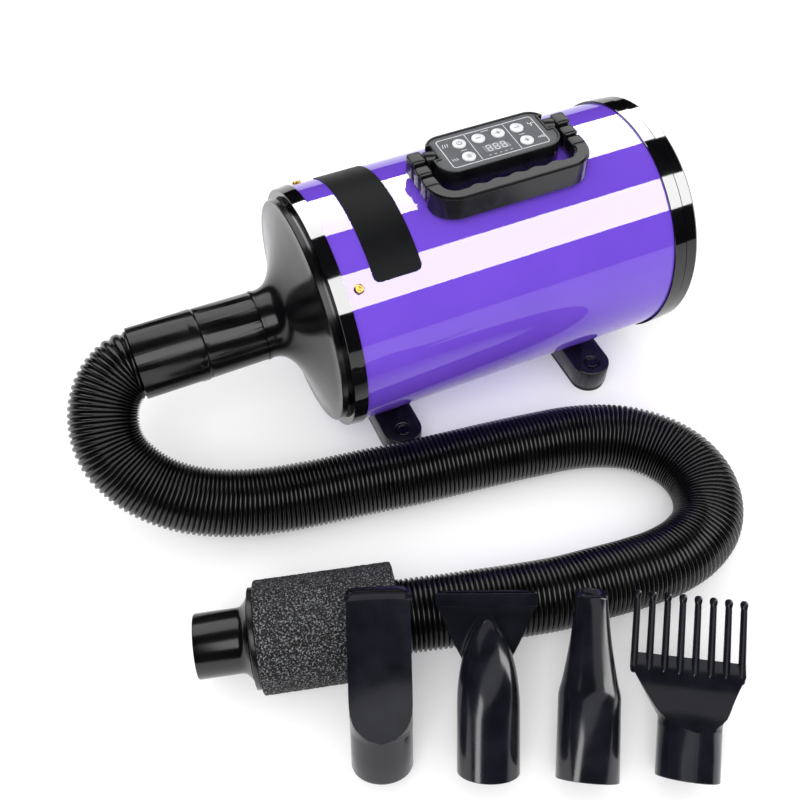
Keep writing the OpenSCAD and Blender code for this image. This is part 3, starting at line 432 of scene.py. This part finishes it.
def makeFoam():
    r, a, b, bore = hand["foamRadius"], hand["foamFrom"], hand["foamTo"], hand["foamBore"]
    edge, rows = hand["edge"], hand["rows"]
    corner = 0.35  # how far the round edge's middle point lies inside the sharp corner
    outer = [(a + edge + (b - a - 2 * edge) * i / rows, r) for i in range(rows + 1)]
    radii = [bore + (r - edge - bore) * i / 8 for i in range(9)]
    rear = [(a, radius) for radius in radii] + [(a + corner, r - corner)]
    front = [(b - corner, r - corner)] + [(b, radius) for radius in reversed(radii)]
    bm = lathe(rear + outer + front, hand["sides"])
    wide, fine = hand["granules"]
    for vert in bm.verts:
        spread = math.hypot(vert.co.y, vert.co.z) / mm
        if spread > bore + 1:
            bump = noise.noise(vert.co / mm / wide) + 0.5 * noise.noise(vert.co / mm / fine)
            out = Vector((0, vert.co.y, vert.co.z)).normalized()
            if spread < r - 0.8:
                out = Vector((1 if vert.co.x / mm > (a + b) / 2 else -1, 0, 0))
            vert.co += out * bump * hand["relief"] * mm
    bmesh.ops.transform(bm, matrix=handPlace, verts=bm.verts)
    return finishPiece(bm, "foamSleeve", {
        "finish": "cutFoam", "body": "handpiece", "slot": "grip_foam", "stands": ["foam_grip"], "sharp": 70})


foamSleeve = makeFoam()
tipProfile = [
    (97, 25.2), (98, 26.6), (100, 23.6), (102.5, 21.2), (104.5, 20.6), (131.2, 20.6), (132, 20.2),
    (132, 19.5), (131.6, 19.1), (108, 19.1), (108, 17.5), (97, 17.5)]
outletTube = finishPiece(lathe(tipProfile, hand["tipSides"], handPlace), "outletTube", {
    "finish": "tubeAbs", "body": "handpiece", "slot": "gloss_black", "stands": ["outlet_tip"],
    "sharp": 30})
gripCollar = softened("grip_core", {
    "name": "gripCollar", "finish": "sparkedAbs", "body": "handpiece", "slot": "satin_black", "round": 0.6})
hoseFerrule = softened("hose_ferrule", {
    "name": "hoseFerrule", "finish": "tubeAbs", "body": "dryer", "slot": "gloss_black", "round": 0.4})
print("handpiece turned")

# barrel, rings and cone
axisHeight = 103  # height of the barrel's middle
barrelPlace = Matrix.Translation((0, 0, axisHeight * mm))
shell = {"front": -34, "rear": 208, "radius": 88, "wall": 1.5, "steps": 192}
# the cone flares from its throat to its mouth between these two places along the barrel
cone = {"from": -80, "to": -50, "throat": 25, "mouth": 78, "curve": 2.8, "wall": 2.4, "rows": 28}

barrelProfile = [
    (shell["front"], shell["radius"]), (shell["rear"], shell["radius"]),
    (shell["rear"], shell["radius"] - shell["wall"]), (shell["front"], shell["radius"] - shell["wall"])]
frontRingProfile = [
    (-43.5, 88.0), (-43.2, 88.4), (-35.2, 89.5), (-34.0, 89.5), (-34.0, 86.2), (-30.5, 86.2), (-30.5, 80.1),
    (-43.5, 80.1)]
# the groove between the two steps is at 217.5 to 218.3
rearRingProfile = [
    (199, 86.2), (208, 86.2), (208, 89.3), (208.2, 89.5), (217.2, 89.5), (217.5, 89.2), (217.5, 88.0),
    (218.3, 88.0), (218.3, 88.7), (226.3, 88.7), (228, 87.2), (228, 82.4), (227.4, 82.0), (225, 82.0),
    (225, 58.2), (222, 58.2), (222, 82.0), (199, 82.0)]
coneOuter = []
for i in range(cone["rows"] + 1):
    flare = (cone["mouth"] - cone["throat"]) * (i / cone["rows"]) ** cone["curve"]
    coneOuter.append((cone["from"] + (cone["to"] - cone["from"]) * i / cone["rows"], cone["throat"] + flare))
coneProfile = (
    [(-114, 22.6), (-82.2, 22.6), (-82, 25.6), (-80.3, 25.6)] + coneOuter
    + [(-50, 81.6), (-49.4, 82.2), (-46.2, 83.0), (-46.0, 82.8), (-46.0, 79.9), (-38.5, 79.9), (-38.5, 77.6)]
    + [(x, r - cone["wall"]) for x, r in reversed(coneOuter)] + [(-82, 20.2), (-114, 20.2)])
for name, profile, look in (
        ("paintedBarrel", barrelProfile, {
            "finish": "bakedEnamel", "slot": "painted_steel", "stands": ["barrel"], "sharp": 30}),
        ("frontBand", frontRingProfile, {
            "finish": "polishedAbs", "slot": "gloss_black", "stands": ["front_ring"], "sharp": 24}),
        ("rearBand", rearRingProfile, {
            "finish": "polishedAbs", "slot": "gloss_black", "stands": ["rear_ring"], "sharp": 24}),
        ("flaredCone", coneProfile, {
            "finish": "tubeAbs", "slot": "gloss_black", "stands": ["outlet_cone"], "sharp": 30})):
    finishPiece(lathe(profile, shell["steps"], barrelPlace), name, {"body": "dryer", **look})

label = {"middle": 3, "length": 34, "arc": 126, "corner": 4.5, "radius": 88.05, "thick": 0.6, "step": 3}


def makeLabel():
    bm = bmesh.new()
    roundedSheet(bm, label["length"], label["arc"], label["corner"])
    cuts = int(label["arc"] / label["step"])
    for i in range(1, cuts):
        bmesh.ops.bisect_plane(bm, geom=bm.verts[:] + bm.edges[:] + bm.faces[:], dist=1e-5,
                               plane_co=(0, -label["arc"] / 2 + i * label["arc"] / cuts, 0),
                               plane_no=(0, 1, 0))
    for vert in bm.verts:
        angle = vert.co.y / label["radius"]
        vert.co = Vector((vert.co.x + label["middle"], label["radius"] * math.sin(angle),
                          label["radius"] * math.cos(angle)))
    grown = bmesh.ops.extrude_face_region(bm, geom=bm.faces[:])["geom"]
    for vert in [item for item in grown if isinstance(item, bmesh.types.BMVert)]:
        out = Vector((0, vert.co.y, vert.co.z)).normalized()
        vert.co += out * label["thick"]
    bmesh.ops.transform(bm, matrix=barrelPlace @ Matrix.Scale(mm, 4), verts=bm.verts)
    finishPiece(bm, "blankLabel", {
        "finish": "labelFilm", "body": "dryer", "slot": "gloss_black", "stands": ["label_plate"]})


makeLabel()
print("barrel rolled")

# black mouldings and small parts, copied from the frame with softer edges: body, finish, rounding
mouldings = {
    "cuff_socket": ("dryer", "tubeAbs", 0.5),
    "cuff_sleeve": ("dryer", "tubeAbs", 0.4),
    "front_foot": ("dryer", "sparkedAbs", 1.0),
    "rear_foot": ("dryer", "sparkedAbs", 1.0),
    "foot_plugs": ("dryer", "polishedAbs", 0.3),
    "body_screws": ("dryer", "platedBrass", 0.15),
    "pod_base": ("dryer", "sparkedAbs", 0.5),
    "pod_panel": ("dryer", "printedFilm", 0.15),
    "display_window": ("dryer", "smokedAcrylic", 0.2),
    "handle_lugs": ("dryer", "sparkedAbs", 0.5),
    "rear_cover": ("intake_cover", "polishedAbs", 0.4),
    "cord_gland": ("dryer", "sparkedAbs", 0.4),
}
# each key's middle on the panel
buttons = {
    "power_button": (-22, 7), "mode_button": (-22, -8), "speed_down_button": (-7.5, 7),
    "speed_up_button": (7.5, 7), "heat_down_button": (22, 7), "heat_up_button": (22, -8)}
for name in buttons:
    mouldings[name] = (name, "whiteKeys", 0.5)
for node, (body, finish, rounding) in mouldings.items():
    softened(node, {"finish": finish, "body": body, "slot": recordSlot[node], "round": rounding})
print("mouldings softened")

# handle: a bar with a waved grip strip and ribbed arms
handle = {
    "middle": 98, "armIn": 49.6, "armOut": 60.4, "front": -42, "barInner": -33, "corner": 20,
    "innerCorner": 9, "low": 187, "top": 205, "split": 203.2, "barBack": -24.0,
    "waves": 5, "waveLength": 14.5, "waveDepth": 1.8,
    # how far the bar and the strip lie inside the outline, and how deep the strip sits in the bar
    "barInset": 0.2, "stripInset": 1.3, "sunk": 0.3,
    # blocks along each arm: middle, length and top
    "blocks": ((5, 12.4, 208.2), (-6.9, 10.2, 206.2), (-18.2, 10.8, 205.2)),
    # the core that joins the blocks: middle, height and size
    "core": {"y": -11, "z": 197.2, "length": 30, "high": 9.5, "shrink": 2.6},
    "blockRound": 2.4, "coreRound": 1.0,
    "seat": 89.4,  # the handle rests at this radius from the barrel's middle
}


def arcPoints(x, y, radius, begin, end, steps, back):
    # the points of an arc that lie in front of the line y = back, with one on that line
    points = []
    for i in range(steps + 1):
        a = begin + (end - begin) * i / steps
        point = (x + radius * math.cos(a), y + radius * math.sin(a))
        if point[1] < back - 0.05:
            points.append(point)
    across = math.copysign(math.sqrt(radius ** 2 - (back - y) ** 2), math.cos((begin + end) / 2))
    meets = (x + across, back)
    return [meets] + points if abs(math.sin(begin)) < 0.5 else points + [meets]


def barOutline(shrink, waved=False):
    # the grip bar seen from above, from its right arm round to its left arm and back
    h = handle
    back, quarter = h["barBack"], math.pi / 2
    big, small = h["corner"] - shrink, h["innerCorner"] + shrink
    cx, cy = h["armOut"] - h["corner"], h["front"] + h["corner"]
    ix, iy = h["armIn"] - h["innerCorner"], h["barInner"] + h["innerCorner"] + 1e-3
    points = arcPoints(cx, cy, big, 0, -quarter, 14, back)
    points += arcPoints(-cx, cy, big, -quarter, -2 * quarter, 14, back)
    points += arcPoints(-ix, iy, small, -2 * quarter, -quarter, 10, back)
    steps = 72
    for i in range(1, steps):
        x = -ix + 2 * ix * i / steps
        y = iy - small
        if waved and abs(x) < h["waves"] * h["waveLength"] / 2:
            y += h["waveDepth"] * (0.5 + 0.5 * math.cos(2 * math.pi * x / h["waveLength"]))
        points.append((x, y))
    return points + arcPoints(ix, iy, small, -quarter, 0, 10, back)


def seatOnBarrel(bm):
    # lifts whatever would reach into the barrel, in mm
    for vert in bm.verts:
        if abs(vert.co.y) < handle["seat"]:
            vert.co.z = max(vert.co.z, axisHeight + math.sqrt(handle["seat"] ** 2 - vert.co.y ** 2))
    bmesh.ops.transform(bm, matrix=Matrix.Scale(mm, 4), verts=bm.verts)
    return bm


def raisedOutline(points, low, high):
    bm = bmesh.new()
    face = bm.faces.new([bm.verts.new((x + handle["middle"], y, low)) for x, y in points])
    grown = bmesh.ops.extrude_face_region(bm, geom=[face])["geom"]
    bmesh.ops.translate(bm, vec=(0, 0, high - low),
                        verts=[item for item in grown if isinstance(item, bmesh.types.BMVert)])
    return seatOnBarrel(bm)


def addBlock(bm, centre, size, rounding, steps=4):
    made = bmesh.ops.create_cube(bm, size=1)["verts"]
    bmesh.ops.scale(bm, vec=size, verts=made)
    bmesh.ops.translate(bm, vec=centre, verts=made)
    edges = list(dict.fromkeys(edge for vert in made for edge in vert.link_edges))
    bmesh.ops.bevel(bm, geom=edges, offset=rounding, affect="EDGES", segments=steps, profile=0.5,
                    material=-1)


def makeHandle():
    h = handle
    look = {"finish": "handleAbs", "body": "handle", "slot": "satin_black"}
    bar = raisedOutline(barOutline(h["barInset"]), h["low"], h["split"])
    finishPiece(bar, "gripBar", {"stands": ["handle_frame"], "round": 1.2, "roundSteps": 3, **look})
    strip = raisedOutline(barOutline(h["stripInset"], waved=True), h["split"] - h["sunk"], h["top"])
    finishPiece(strip, "gripStrip", {"stands": ["handle_cap"], "round": 0.8, "roundSteps": 3, **look})
    armMiddle = (h["armIn"] + h["armOut"]) / 2
    width = h["armOut"] - h["armIn"]
    bm = bmesh.new()
    for side in (-1, 1):
        for y, length, top in h["blocks"]:
            nearest = min(abs(y - length / 2), abs(y + length / 2))
            low = axisHeight + math.sqrt(h["seat"] ** 2 - nearest ** 2)
            addBlock(bm, (h["middle"] + side * armMiddle, y, (low + top) / 2),
                     (width, length, top - low), h["blockRound"])
    finishPiece(seatOnBarrel(bm), "armBlocks", {"stands": ["arm_sleeves"], "sharp": 50, **look})
    core = h["core"]
    bm = bmesh.new()
    for side in (-1, 1):
        addBlock(bm, (h["middle"] + side * armMiddle, core["y"], core["z"]),
                 (width - core["shrink"], core["length"], core["high"]), h["coreRound"], 2)
    finishPiece(seatOnBarrel(bm), "armCores", {"sharp": 50, **look})


makeHandle()
print("handle built")

# print on the panel and the keys
panel = {
    "middle": 98, "top": 207.2, "keyTop": 207.9, "lens": 207.4, "ink": 0.08, "line": 0.6,
    "border": (73, 31), "borderCorner": 2.5, "divider": 14.75,
    # the display: middles of its figures across, heights of a figure's bars and its uprights
    "figures": (-5.4, 0, 5.4), "bars": (-8.6, -5.5, -2.4), "uprights": (-7.1, -3.9),
}


def inkPiece(bm, name, body, finish, height):
    # flat faces in mm about the panel's middle become a thin raised print
    grown = bmesh.ops.extrude_face_region(bm, geom=bm.faces[:])["geom"]
    lifted = [item for item in grown if isinstance(item, bmesh.types.BMVert)]
    bmesh.ops.translate(bm, vec=(0, 0, panel["ink"]), verts=lifted)
    place = Matrix.Translation((panel["middle"] * mm, 0, height * mm)) @ Matrix.Scale(mm, 4)
    bmesh.ops.transform(bm, matrix=place, verts=bm.verts)
    slot = "button_white" if finish == "paleInk" else "panel_grey"
    finishPiece(bm, name, {"finish": finish, "body": body, "slot": slot, "sharp": 30})


def addBar(bm, x, y, length, width, turn=0):
    # a flat bar about its middle, turned by degrees
    made = bmesh.ops.create_grid(bm, x_segments=1, y_segments=1, size=0.5)["verts"]
    bmesh.ops.scale(bm, vec=(length, width, 1), verts=made)
    turned = Matrix.Rotation(math.radians(turn), 3, "Z")
    bmesh.ops.rotate(bm, cent=(0, 0, 0), matrix=turned, verts=made)
    bmesh.ops.translate(bm, vec=(x, y, 0), verts=made)


def addArc(bm, x, y, radius, width, begin, end, steps=16):
    # a flat arc as a spun short line
    ends = [bm.verts.new((x + r * math.cos(begin), y + r * math.sin(begin), 0))
            for r in (radius, radius + width)]
    edge = bm.edges.new(ends)
    bmesh.ops.spin(bm, geom=ends + [edge], cent=(x, y, 0), axis=(0, 0, 1), dvec=(0, 0, 0),
                   angle=end - begin, steps=steps)


def makePanelPrint():
    bm = bmesh.new()
    length, width = panel["border"]
    roundedSheet(bm, length, width, panel["borderCorner"])
    border = bmesh.ops.inset_region(bm, faces=bm.faces[:], thickness=panel["line"], depth=0,
                                    use_boundary=True, use_even_offset=True)["faces"]
    middle = [face for face in bm.faces if face not in set(border)]
    bmesh.ops.delete(bm, geom=middle, context="FACES")
    for side in (-1, 1):
        addBar(bm, side * panel["divider"], 0, panel["line"] * 0.8, width)
    # small generic marks: warm air on the left, a fan on the right, ticks by the display
    for i in range(3):
        addBar(bm, -33.6 + 1.7 * i, 8.5, 0.5, 3.6, -14)
        addBar(bm, -33.6 + 1.7 * i, -7.5, 0.5, 2.4, 14)
    for i in range(3):
        turn = 2 * math.pi * i / 3
        addArc(bm, 33 + 1.3 * math.cos(turn), 7.5 + 1.3 * math.sin(turn), 0.75, 0.5,
               turn, turn + 3.6, 8)
    for i in range(4):
        addBar(bm, 31.2 + 1.3 * i, -8, 0.6, 1.2 + 0.6 * i)
    for x in (-22, 22):
        addBar(bm, x, -0.5, 4.2, 0.45)
    for i in range(5):
        addBar(bm, -8 + 4 * i, -12.2, 1.6, 0.45)
    addBar(bm, 0, 12.9, 6, 0.45)
    inkPiece(bm, "panelPrint", "dryer", "paleInk", panel["top"])
    # three figures on the display's lens
    bm = bmesh.new()
    for x in panel["figures"]:
        for side in (-1, 1):
            for y in panel["uprights"]:
                addBar(bm, x + side * 1.5, y, 0.6, 2.5)
        for y in panel["bars"]:
            addBar(bm, x, y, 2.4, 0.6)
    inkPiece(bm, "displayFigures", "dryer", "paleInk", panel["lens"])


def makeKeyPrint(button, x, y):
    bm = bmesh.new()
    if button == "power_button":
        addArc(bm, x, y, 1.5, 0.5, math.radians(125), math.radians(415))
        addBar(bm, x, y + 1.3, 0.5, 2.2)
    elif button == "mode_button":
        for i in (-1, 0, 1):
            addBar(bm, x, y + 1.3 * i, 3.4 - 0.6 * abs(i), 0.5)
    else:
        addBar(bm, x, y, 3.6, 0.6)
        if "up" in button:
            for side in (-1, 1):
                addBar(bm, x, y + side * 1.05, 0.6, 1.5)
    inkPiece(bm, button.replace("_button", "Mark"), button, "greyInk", panel["keyTop"])


makePanelPrint()
for button, (x, y) in buttons.items():
    makeKeyPrint(button, x, y)
print("panel printed")

# nozzles: each stands on its base's edge and leans back
# place is x, y, turn and lean; heights run along the nozzle from its base
nozzle = {"plug": 19, "wall": 1.8, "edge": 0.3, "arcSteps": 44, "flatSteps": 20}
nozzleLook = {"finish": "glossPolypropylene", "slot": "nozzle_black"}


def leaning(x, y, turn, lean):
    return (Matrix.Translation((x * mm, y * mm, 0)) @ Matrix.Rotation(-math.radians(turn), 4, "Z")
            @ Matrix.Rotation(-math.radians(lean), 4, "X")
            @ Matrix.Translation((0, -nozzle["plug"] * mm, 0)))


def power(value, exponent):
    return math.copysign(abs(value) ** exponent, value)


def ease(t):
    return 1 - (1 - t) ** 2


def share(z, start, end):
    return min(max((z - start) / (end - start), 0), 1)


def circleSection(z, radius, rise=0.0, sides=64):
    angles = [2 * math.pi * k / sides for k in range(sides)]
    return [(radius * math.cos(a), rise + radius * math.sin(a), z) for a in angles]


def scoopedSection(z, halfWidth, squareness, front, scoop, rear):
    # an oval cut off in front by a slightly hollow face, counted round from its right edge
    cutAt = max(-0.998, min(0.96, front / rear))  # kept clear of the oval's two ends
    begin = math.asin(power(cutAt, squareness / 2))
    points = []
    for i in range(nozzle["arcSteps"] + 1):
        a = begin + (math.pi - 2 * begin) * i / nozzle["arcSteps"]
        points.append((halfWidth * power(math.cos(a), 2 / squareness),
                       rear * power(math.sin(a), 2 / squareness), z))
    edge, level = points[0][:2]
    for i in range(1, nozzle["flatSteps"]):
        x = -edge + 2 * edge * i / nozzle["flatSteps"]
        points.append((x, level + scoop * (1 - (x / edge) ** 2), z))
    return points


flat = {
    "place": (-105.7, -275, 22, 30), "length": 113, "taperFrom": 30, "rise": 30, "squareBy": 75,
    "scoop": 1.6, "scoopSpan": (32, 60), "lip": 0.7, "lipFrom": 108.8,
    "rows": (0, 1, 14, 28, 30, 32, 34, 37, 40, 44, 48, 52, 56, 60, 66, 72, 80, 88, 96, 104,
             108.6, 109, 109.4, 112.6, 113),
}


def makeFlatNozzle():
    sections = []
    for z in flat["rows"]:
        lip = flat["lip"] if z > flat["lipFrom"] else 0
        if z in (0, flat["length"]):
            lip -= nozzle["edge"]
        rise = flat["rise"] * ease(share(z, flat["taperFrom"], flat["length"]))
        sections.append(scoopedSection(
            z, nozzle["plug"] + lip, 2 + 4 * share(z, flat["taperFrom"], flat["squareBy"]),
            -nozzle["plug"] + rise - lip, flat["scoop"] * ease(share(z, *flat["scoopSpan"])),
            nozzle["plug"] + lip))
    finishPiece(loft(sections, leaning(*flat["place"])), "flatNozzle", {
        "body": "flat_nozzle_body", "stands": ["flat_nozzle"], "wall": nozzle["wall"],
        "sharp": 32, **nozzleLook})


fan = {
    "place": (-51.2, -311.5, 23.7, 49.5),
    "plugRows": ((0, 18.7), (0.4, 19), (12, 19), (26, 19)),
    "bulletFrom": 38, "bulletTo": 92, "bulletRows": 29, "bulletRise": 7.5, "bulletEnd": 0.01,
    # the flat plate: how square it is, its front, and height, half width and lip of each row
    "square": 7, "front": 11,
    "plateRows": ((44, 11, 0), (56, 13.5, 0), (66, 15.5, 0), (76, 20.7, 0), (88, 26, 0), (97.6, 30.4, 0),
                  (98, 31.1, 0.6), (98.4, 31.4, 0.7), (105.6, 31.6, 0.7), (106, 31.3, 0.4)),
}


def makeFanNozzle():
    place = leaning(*fan["place"])
    look = {"body": "fan_nozzle_body", "wall": nozzle["wall"], "sharp": 32, **nozzleLook}
    sections = [circleSection(z, radius) for z, radius in fan["plugRows"]]
    for i in range(fan["bulletRows"] + 1):
        turn = math.pi / 2 * i / fan["bulletRows"]
        z = fan["bulletFrom"] + (fan["bulletTo"] - fan["bulletFrom"]) * math.sin(turn)
        t = share(z, fan["bulletFrom"], fan["bulletTo"])
        radius = max(nozzle["plug"] * (1 - t ** 2.2) ** 0.62, fan["bulletEnd"])
        sections.append(circleSection(z, radius, fan["bulletRise"] * t ** 1.5))
    finishPiece(loft(sections, place), "fanBullet", {"stands": ["fan_nozzle"], **look})
    plate = [scoopedSection(z, half, fan["square"], fan["front"] - lip, 0, nozzle["plug"] + lip * 0.5)
             for z, half, lip in fan["plateRows"]]
    finishPiece(loft(plate, place), "fanPlate", look)


tapered = {
    "place": (-1.3, -345.2, 28.7, 65.8), "sides": 96, "cutHeight": 111, "cutAngle": 16,
    "profile": [(0, 18.7), (0.4, 19), (46, 19), (49, 18.9), (52, 18.3), (56, 17.2), (62, 16.0),
                (70, 14.5), (80, 12.9), (90, 11.6), (100, 10.7), (104, 10.5), (106, 10.5), (125, 10.5)],
}


def makeRoundNozzle():
    bm = lathe(tapered["profile"], tapered["sides"], upright=True, closed=False)
    cut = Matrix.Rotation(math.radians(tapered["cutAngle"]), 3, "X") @ Vector((0, 0, 1))
    bmesh.ops.bisect_plane(bm, geom=bm.verts[:] + bm.edges[:] + bm.faces[:], dist=1e-6,
                           plane_co=(0, 0, tapered["cutHeight"] * mm), plane_no=cut, clear_outer=True)
    bmesh.ops.transform(bm, matrix=leaning(*tapered["place"]), verts=bm.verts)
    finishPiece(bm, "roundNozzle", {
        "body": "round_nozzle_body", "stands": ["round_nozzle"], "wall": nozzle["wall"],
        "sharp": 40, **nozzleLook})


comb = {
    "place": (54.4, -368.5, 31.3, 64.3), "length": 70, "widen": 16.6, "widenSpan": (34, 62),
    "rise": 30.5, "riseFrom": 28, "squareSpan": (32, 62), "scoop": 1.2, "scoopSpan": (32, 60),
    "rows": (0, 0.4, 14, 28, 30, 32, 34, 37, 40, 44, 48, 52, 56, 60, 62, 64, 67, 69.6, 70),
    "tines": 8, "spacing": 9.5, "tineRise": 12.6, "tineSides": 20,
    "tine": [(57, 0.0), (57.4, 1.2), (58.6, 2.1), (61, 2.4), (102, 2.1), (103.4, 2.0), (104.4, 2.3),
             (106.4, 2.6), (108.0, 2.2), (108.8, 1.2), (109, 0.0)],
}


def makeCombNozzle():
    place = leaning(*comb["place"])
    look = {"body": "comb_nozzle_body", "sharp": 32, **nozzleLook}
    sections = []
    for z in comb["rows"]:
        shrink = nozzle["edge"] if z in (0, comb["length"]) else 0
        half = nozzle["plug"] + comb["widen"] * share(z, *comb["widenSpan"])
        front = -nozzle["plug"] + comb["rise"] * ease(share(z, comb["riseFrom"], comb["length"]))
        sections.append(scoopedSection(
            z, half - shrink, 2 + 5 * share(z, *comb["squareSpan"]), front + shrink,
            comb["scoop"] * ease(share(z, *comb["scoopSpan"])), nozzle["plug"] - shrink))
    finishPiece(loft(sections, place), "combBody", {
        "wall": nozzle["wall"], "stands": ["comb_nozzle"], **look})
    bm = bmesh.new()
    spare = bpy.data.meshes.new("tine")
    for i in range(comb["tines"]):
        x = (i - (comb["tines"] - 1) / 2) * comb["spacing"]
        tine = lathe(comb["tine"], comb["tineSides"], upright=True, closed=False)
        bmesh.ops.translate(tine, vec=(x * mm, comb["tineRise"] * mm, 0), verts=tine.verts)
        tine.to_mesh(spare)
        tine.free()
        bm.from_mesh(spare)
    bpy.data.meshes.remove(spare)
    bmesh.ops.transform(bm, matrix=place, verts=bm.verts)
    finishPiece(bm, "combTines", look)


makeFlatNozzle()
makeFanNozzle()
makeRoundNozzle()
makeCombNozzle()
print("nozzles moulded")

# floor and lights, in metres
studio = {
    "paper": ("#f5f4f5", "#f9f8f9"), "floorSize": 12.0, "floorDrop": 0.0002, "fibresPerMetre": 300.0,
    "glow": 0.22, "sky": 0.98,
    # long soft boxes beside the barrel: angle from above towards the front and half angle, then the
    # strengths for the barrel, for the rest and for the nozzles
    "strips": (("rearStrip", -38, 23, 19.0, 2.2, 0.5), ("frontStrip", 39.5, 15.5, 19.0, 3.2, 0.8)),
    "stripReach": 1.0, "stripFrom": -0.9, "stripTo": 2.0,
    # upright soft boxes at the two sides, which edge the nozzles
    "sides": ((-1.0, -0.75, 0.45), (1.05, -0.6, 0.45)), "sideWidth": 0.28, "sideHeight": 0.9,
    "sideStrength": 7.0, "sideAim": (0, -0.25, 0.05),
    "key": {"place": (-0.9, -1.2, 1.9), "size": 1.2, "power": 18.0},
}


def makeFloor():
    # matt paper: almost white, with a faint fibre
    finish, tree, shader = startFinish("paperSweep")
    shader.inputs["Roughness"].default_value = 0.9
    shader.inputs["Specular IOR Level"].default_value = 0.1
    shader.inputs["Emission Color"].default_value = (1, 1, 1, 1)
    shader.inputs["Emission Strength"].default_value = studio["glow"]
    coords = addNode(tree, "ShaderNodeTexCoord")
    fibre = addNode(tree, "ShaderNodeTexNoise", {
        "Vector": (coords, "Object"), "Scale": studio["fibresPerMetre"], "Detail": 3.0})
    tone = addNode(tree, "ShaderNodeValToRGB", {"Fac": (fibre, "Fac")})
    for element, colour in zip(tone.color_ramp.elements, studio["paper"]):
        element.color = linear(colour)
    tree.links.new(tone.outputs["Color"], shader.inputs["Base Color"])
    bm = bmesh.new()
    bmesh.ops.create_grid(bm, x_segments=1, y_segments=1, size=studio["floorSize"] / 2)
    mesh = bpy.data.meshes.new("floor")
    bm.to_mesh(mesh)
    bm.free()
    floor = bpy.data.objects.new("floor", mesh)
    floor.location = (0, 0, -studio["floorDrop"])
    mesh.materials.append(finish)
    scene.collection.objects.link(floor)
    floor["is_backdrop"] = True


def hangLamp(name, place, turn, width, height, watts):
    # a flat lamp that the camera doesn't see
    lamp = bpy.data.lights.new(name, "AREA")
    lamp.shape = "RECTANGLE"
    lamp.size = width
    lamp.size_y = height
    lamp.energy = watts
    hung = bpy.data.objects.new(name, lamp)
    hung.location = place
    hung.rotation_euler = turn
    hung.visible_camera = False
    scene.collection.objects.link(hung)
    return hung


def hangBox(name, place, turn, width, height, strength, lit):
    # a soft box that only shows as a reflection, on the pieces that it lights
    box = hangLamp(name, place, turn, width, height, strength * math.pi * width * height)
    box.visible_diffuse = False
    box.light_linking.receiver_collection = lit


def facing(place, aim):
    return (Vector(aim) - Vector(place)).to_track_quat("-Z", "Y").to_euler()


makeFloor()
groups = [bpy.data.collections.new(name) for name in ("barrelGroup", "restGroup", "nozzleGroup")]
barrelGroup, restGroup, nozzleGroup = groups
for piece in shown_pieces():
    if piece.name in ("paintedBarrel", "frontBand", "rearBand"):
        barrelGroup.objects.link(piece)
    elif piece.data.materials[0] == finishes["glossPolypropylene"]:
        nozzleGroup.objects.link(piece)
    else:
        restGroup.objects.link(piece)
stripLength = studio["stripTo"] - studio["stripFrom"]
stripMiddle = Vector(((studio["stripFrom"] + studio["stripTo"]) / 2, 0, axisHeight * mm))
for name, angle, half, *strengths in studio["strips"]:
    lean = math.radians(angle)
    place = stripMiddle + Vector((0, -math.sin(lean), math.cos(lean))) * studio["stripReach"]
    width = 2 * studio["stripReach"] * math.tan(math.radians(half))
    for group, strength in zip(groups, strengths):
        hangBox(name, place, (lean, 0, 0), stripLength, width, strength, group)
for place in studio["sides"]:
    hangBox("side", place, facing(place, studio["sideAim"]), studio["sideWidth"], studio["sideHeight"],
            studio["sideStrength"], nozzleGroup)
place, size = studio["key"]["place"], studio["key"]["size"]
key = hangLamp("key", place, facing(place, (0, 0, 0)), size, size, studio["key"]["power"])
key.visible_glossy = False
world = bpy.data.worlds.new("studio")
world.use_nodes = True
world.node_tree.nodes["Background"].inputs["Color"].default_value = (1, 1, 1, 1)
world.node_tree.nodes["Background"].inputs["Strength"].default_value = studio["sky"]
world.cycles_visibility.glossy = False
scene.world = world
print("studio lit")
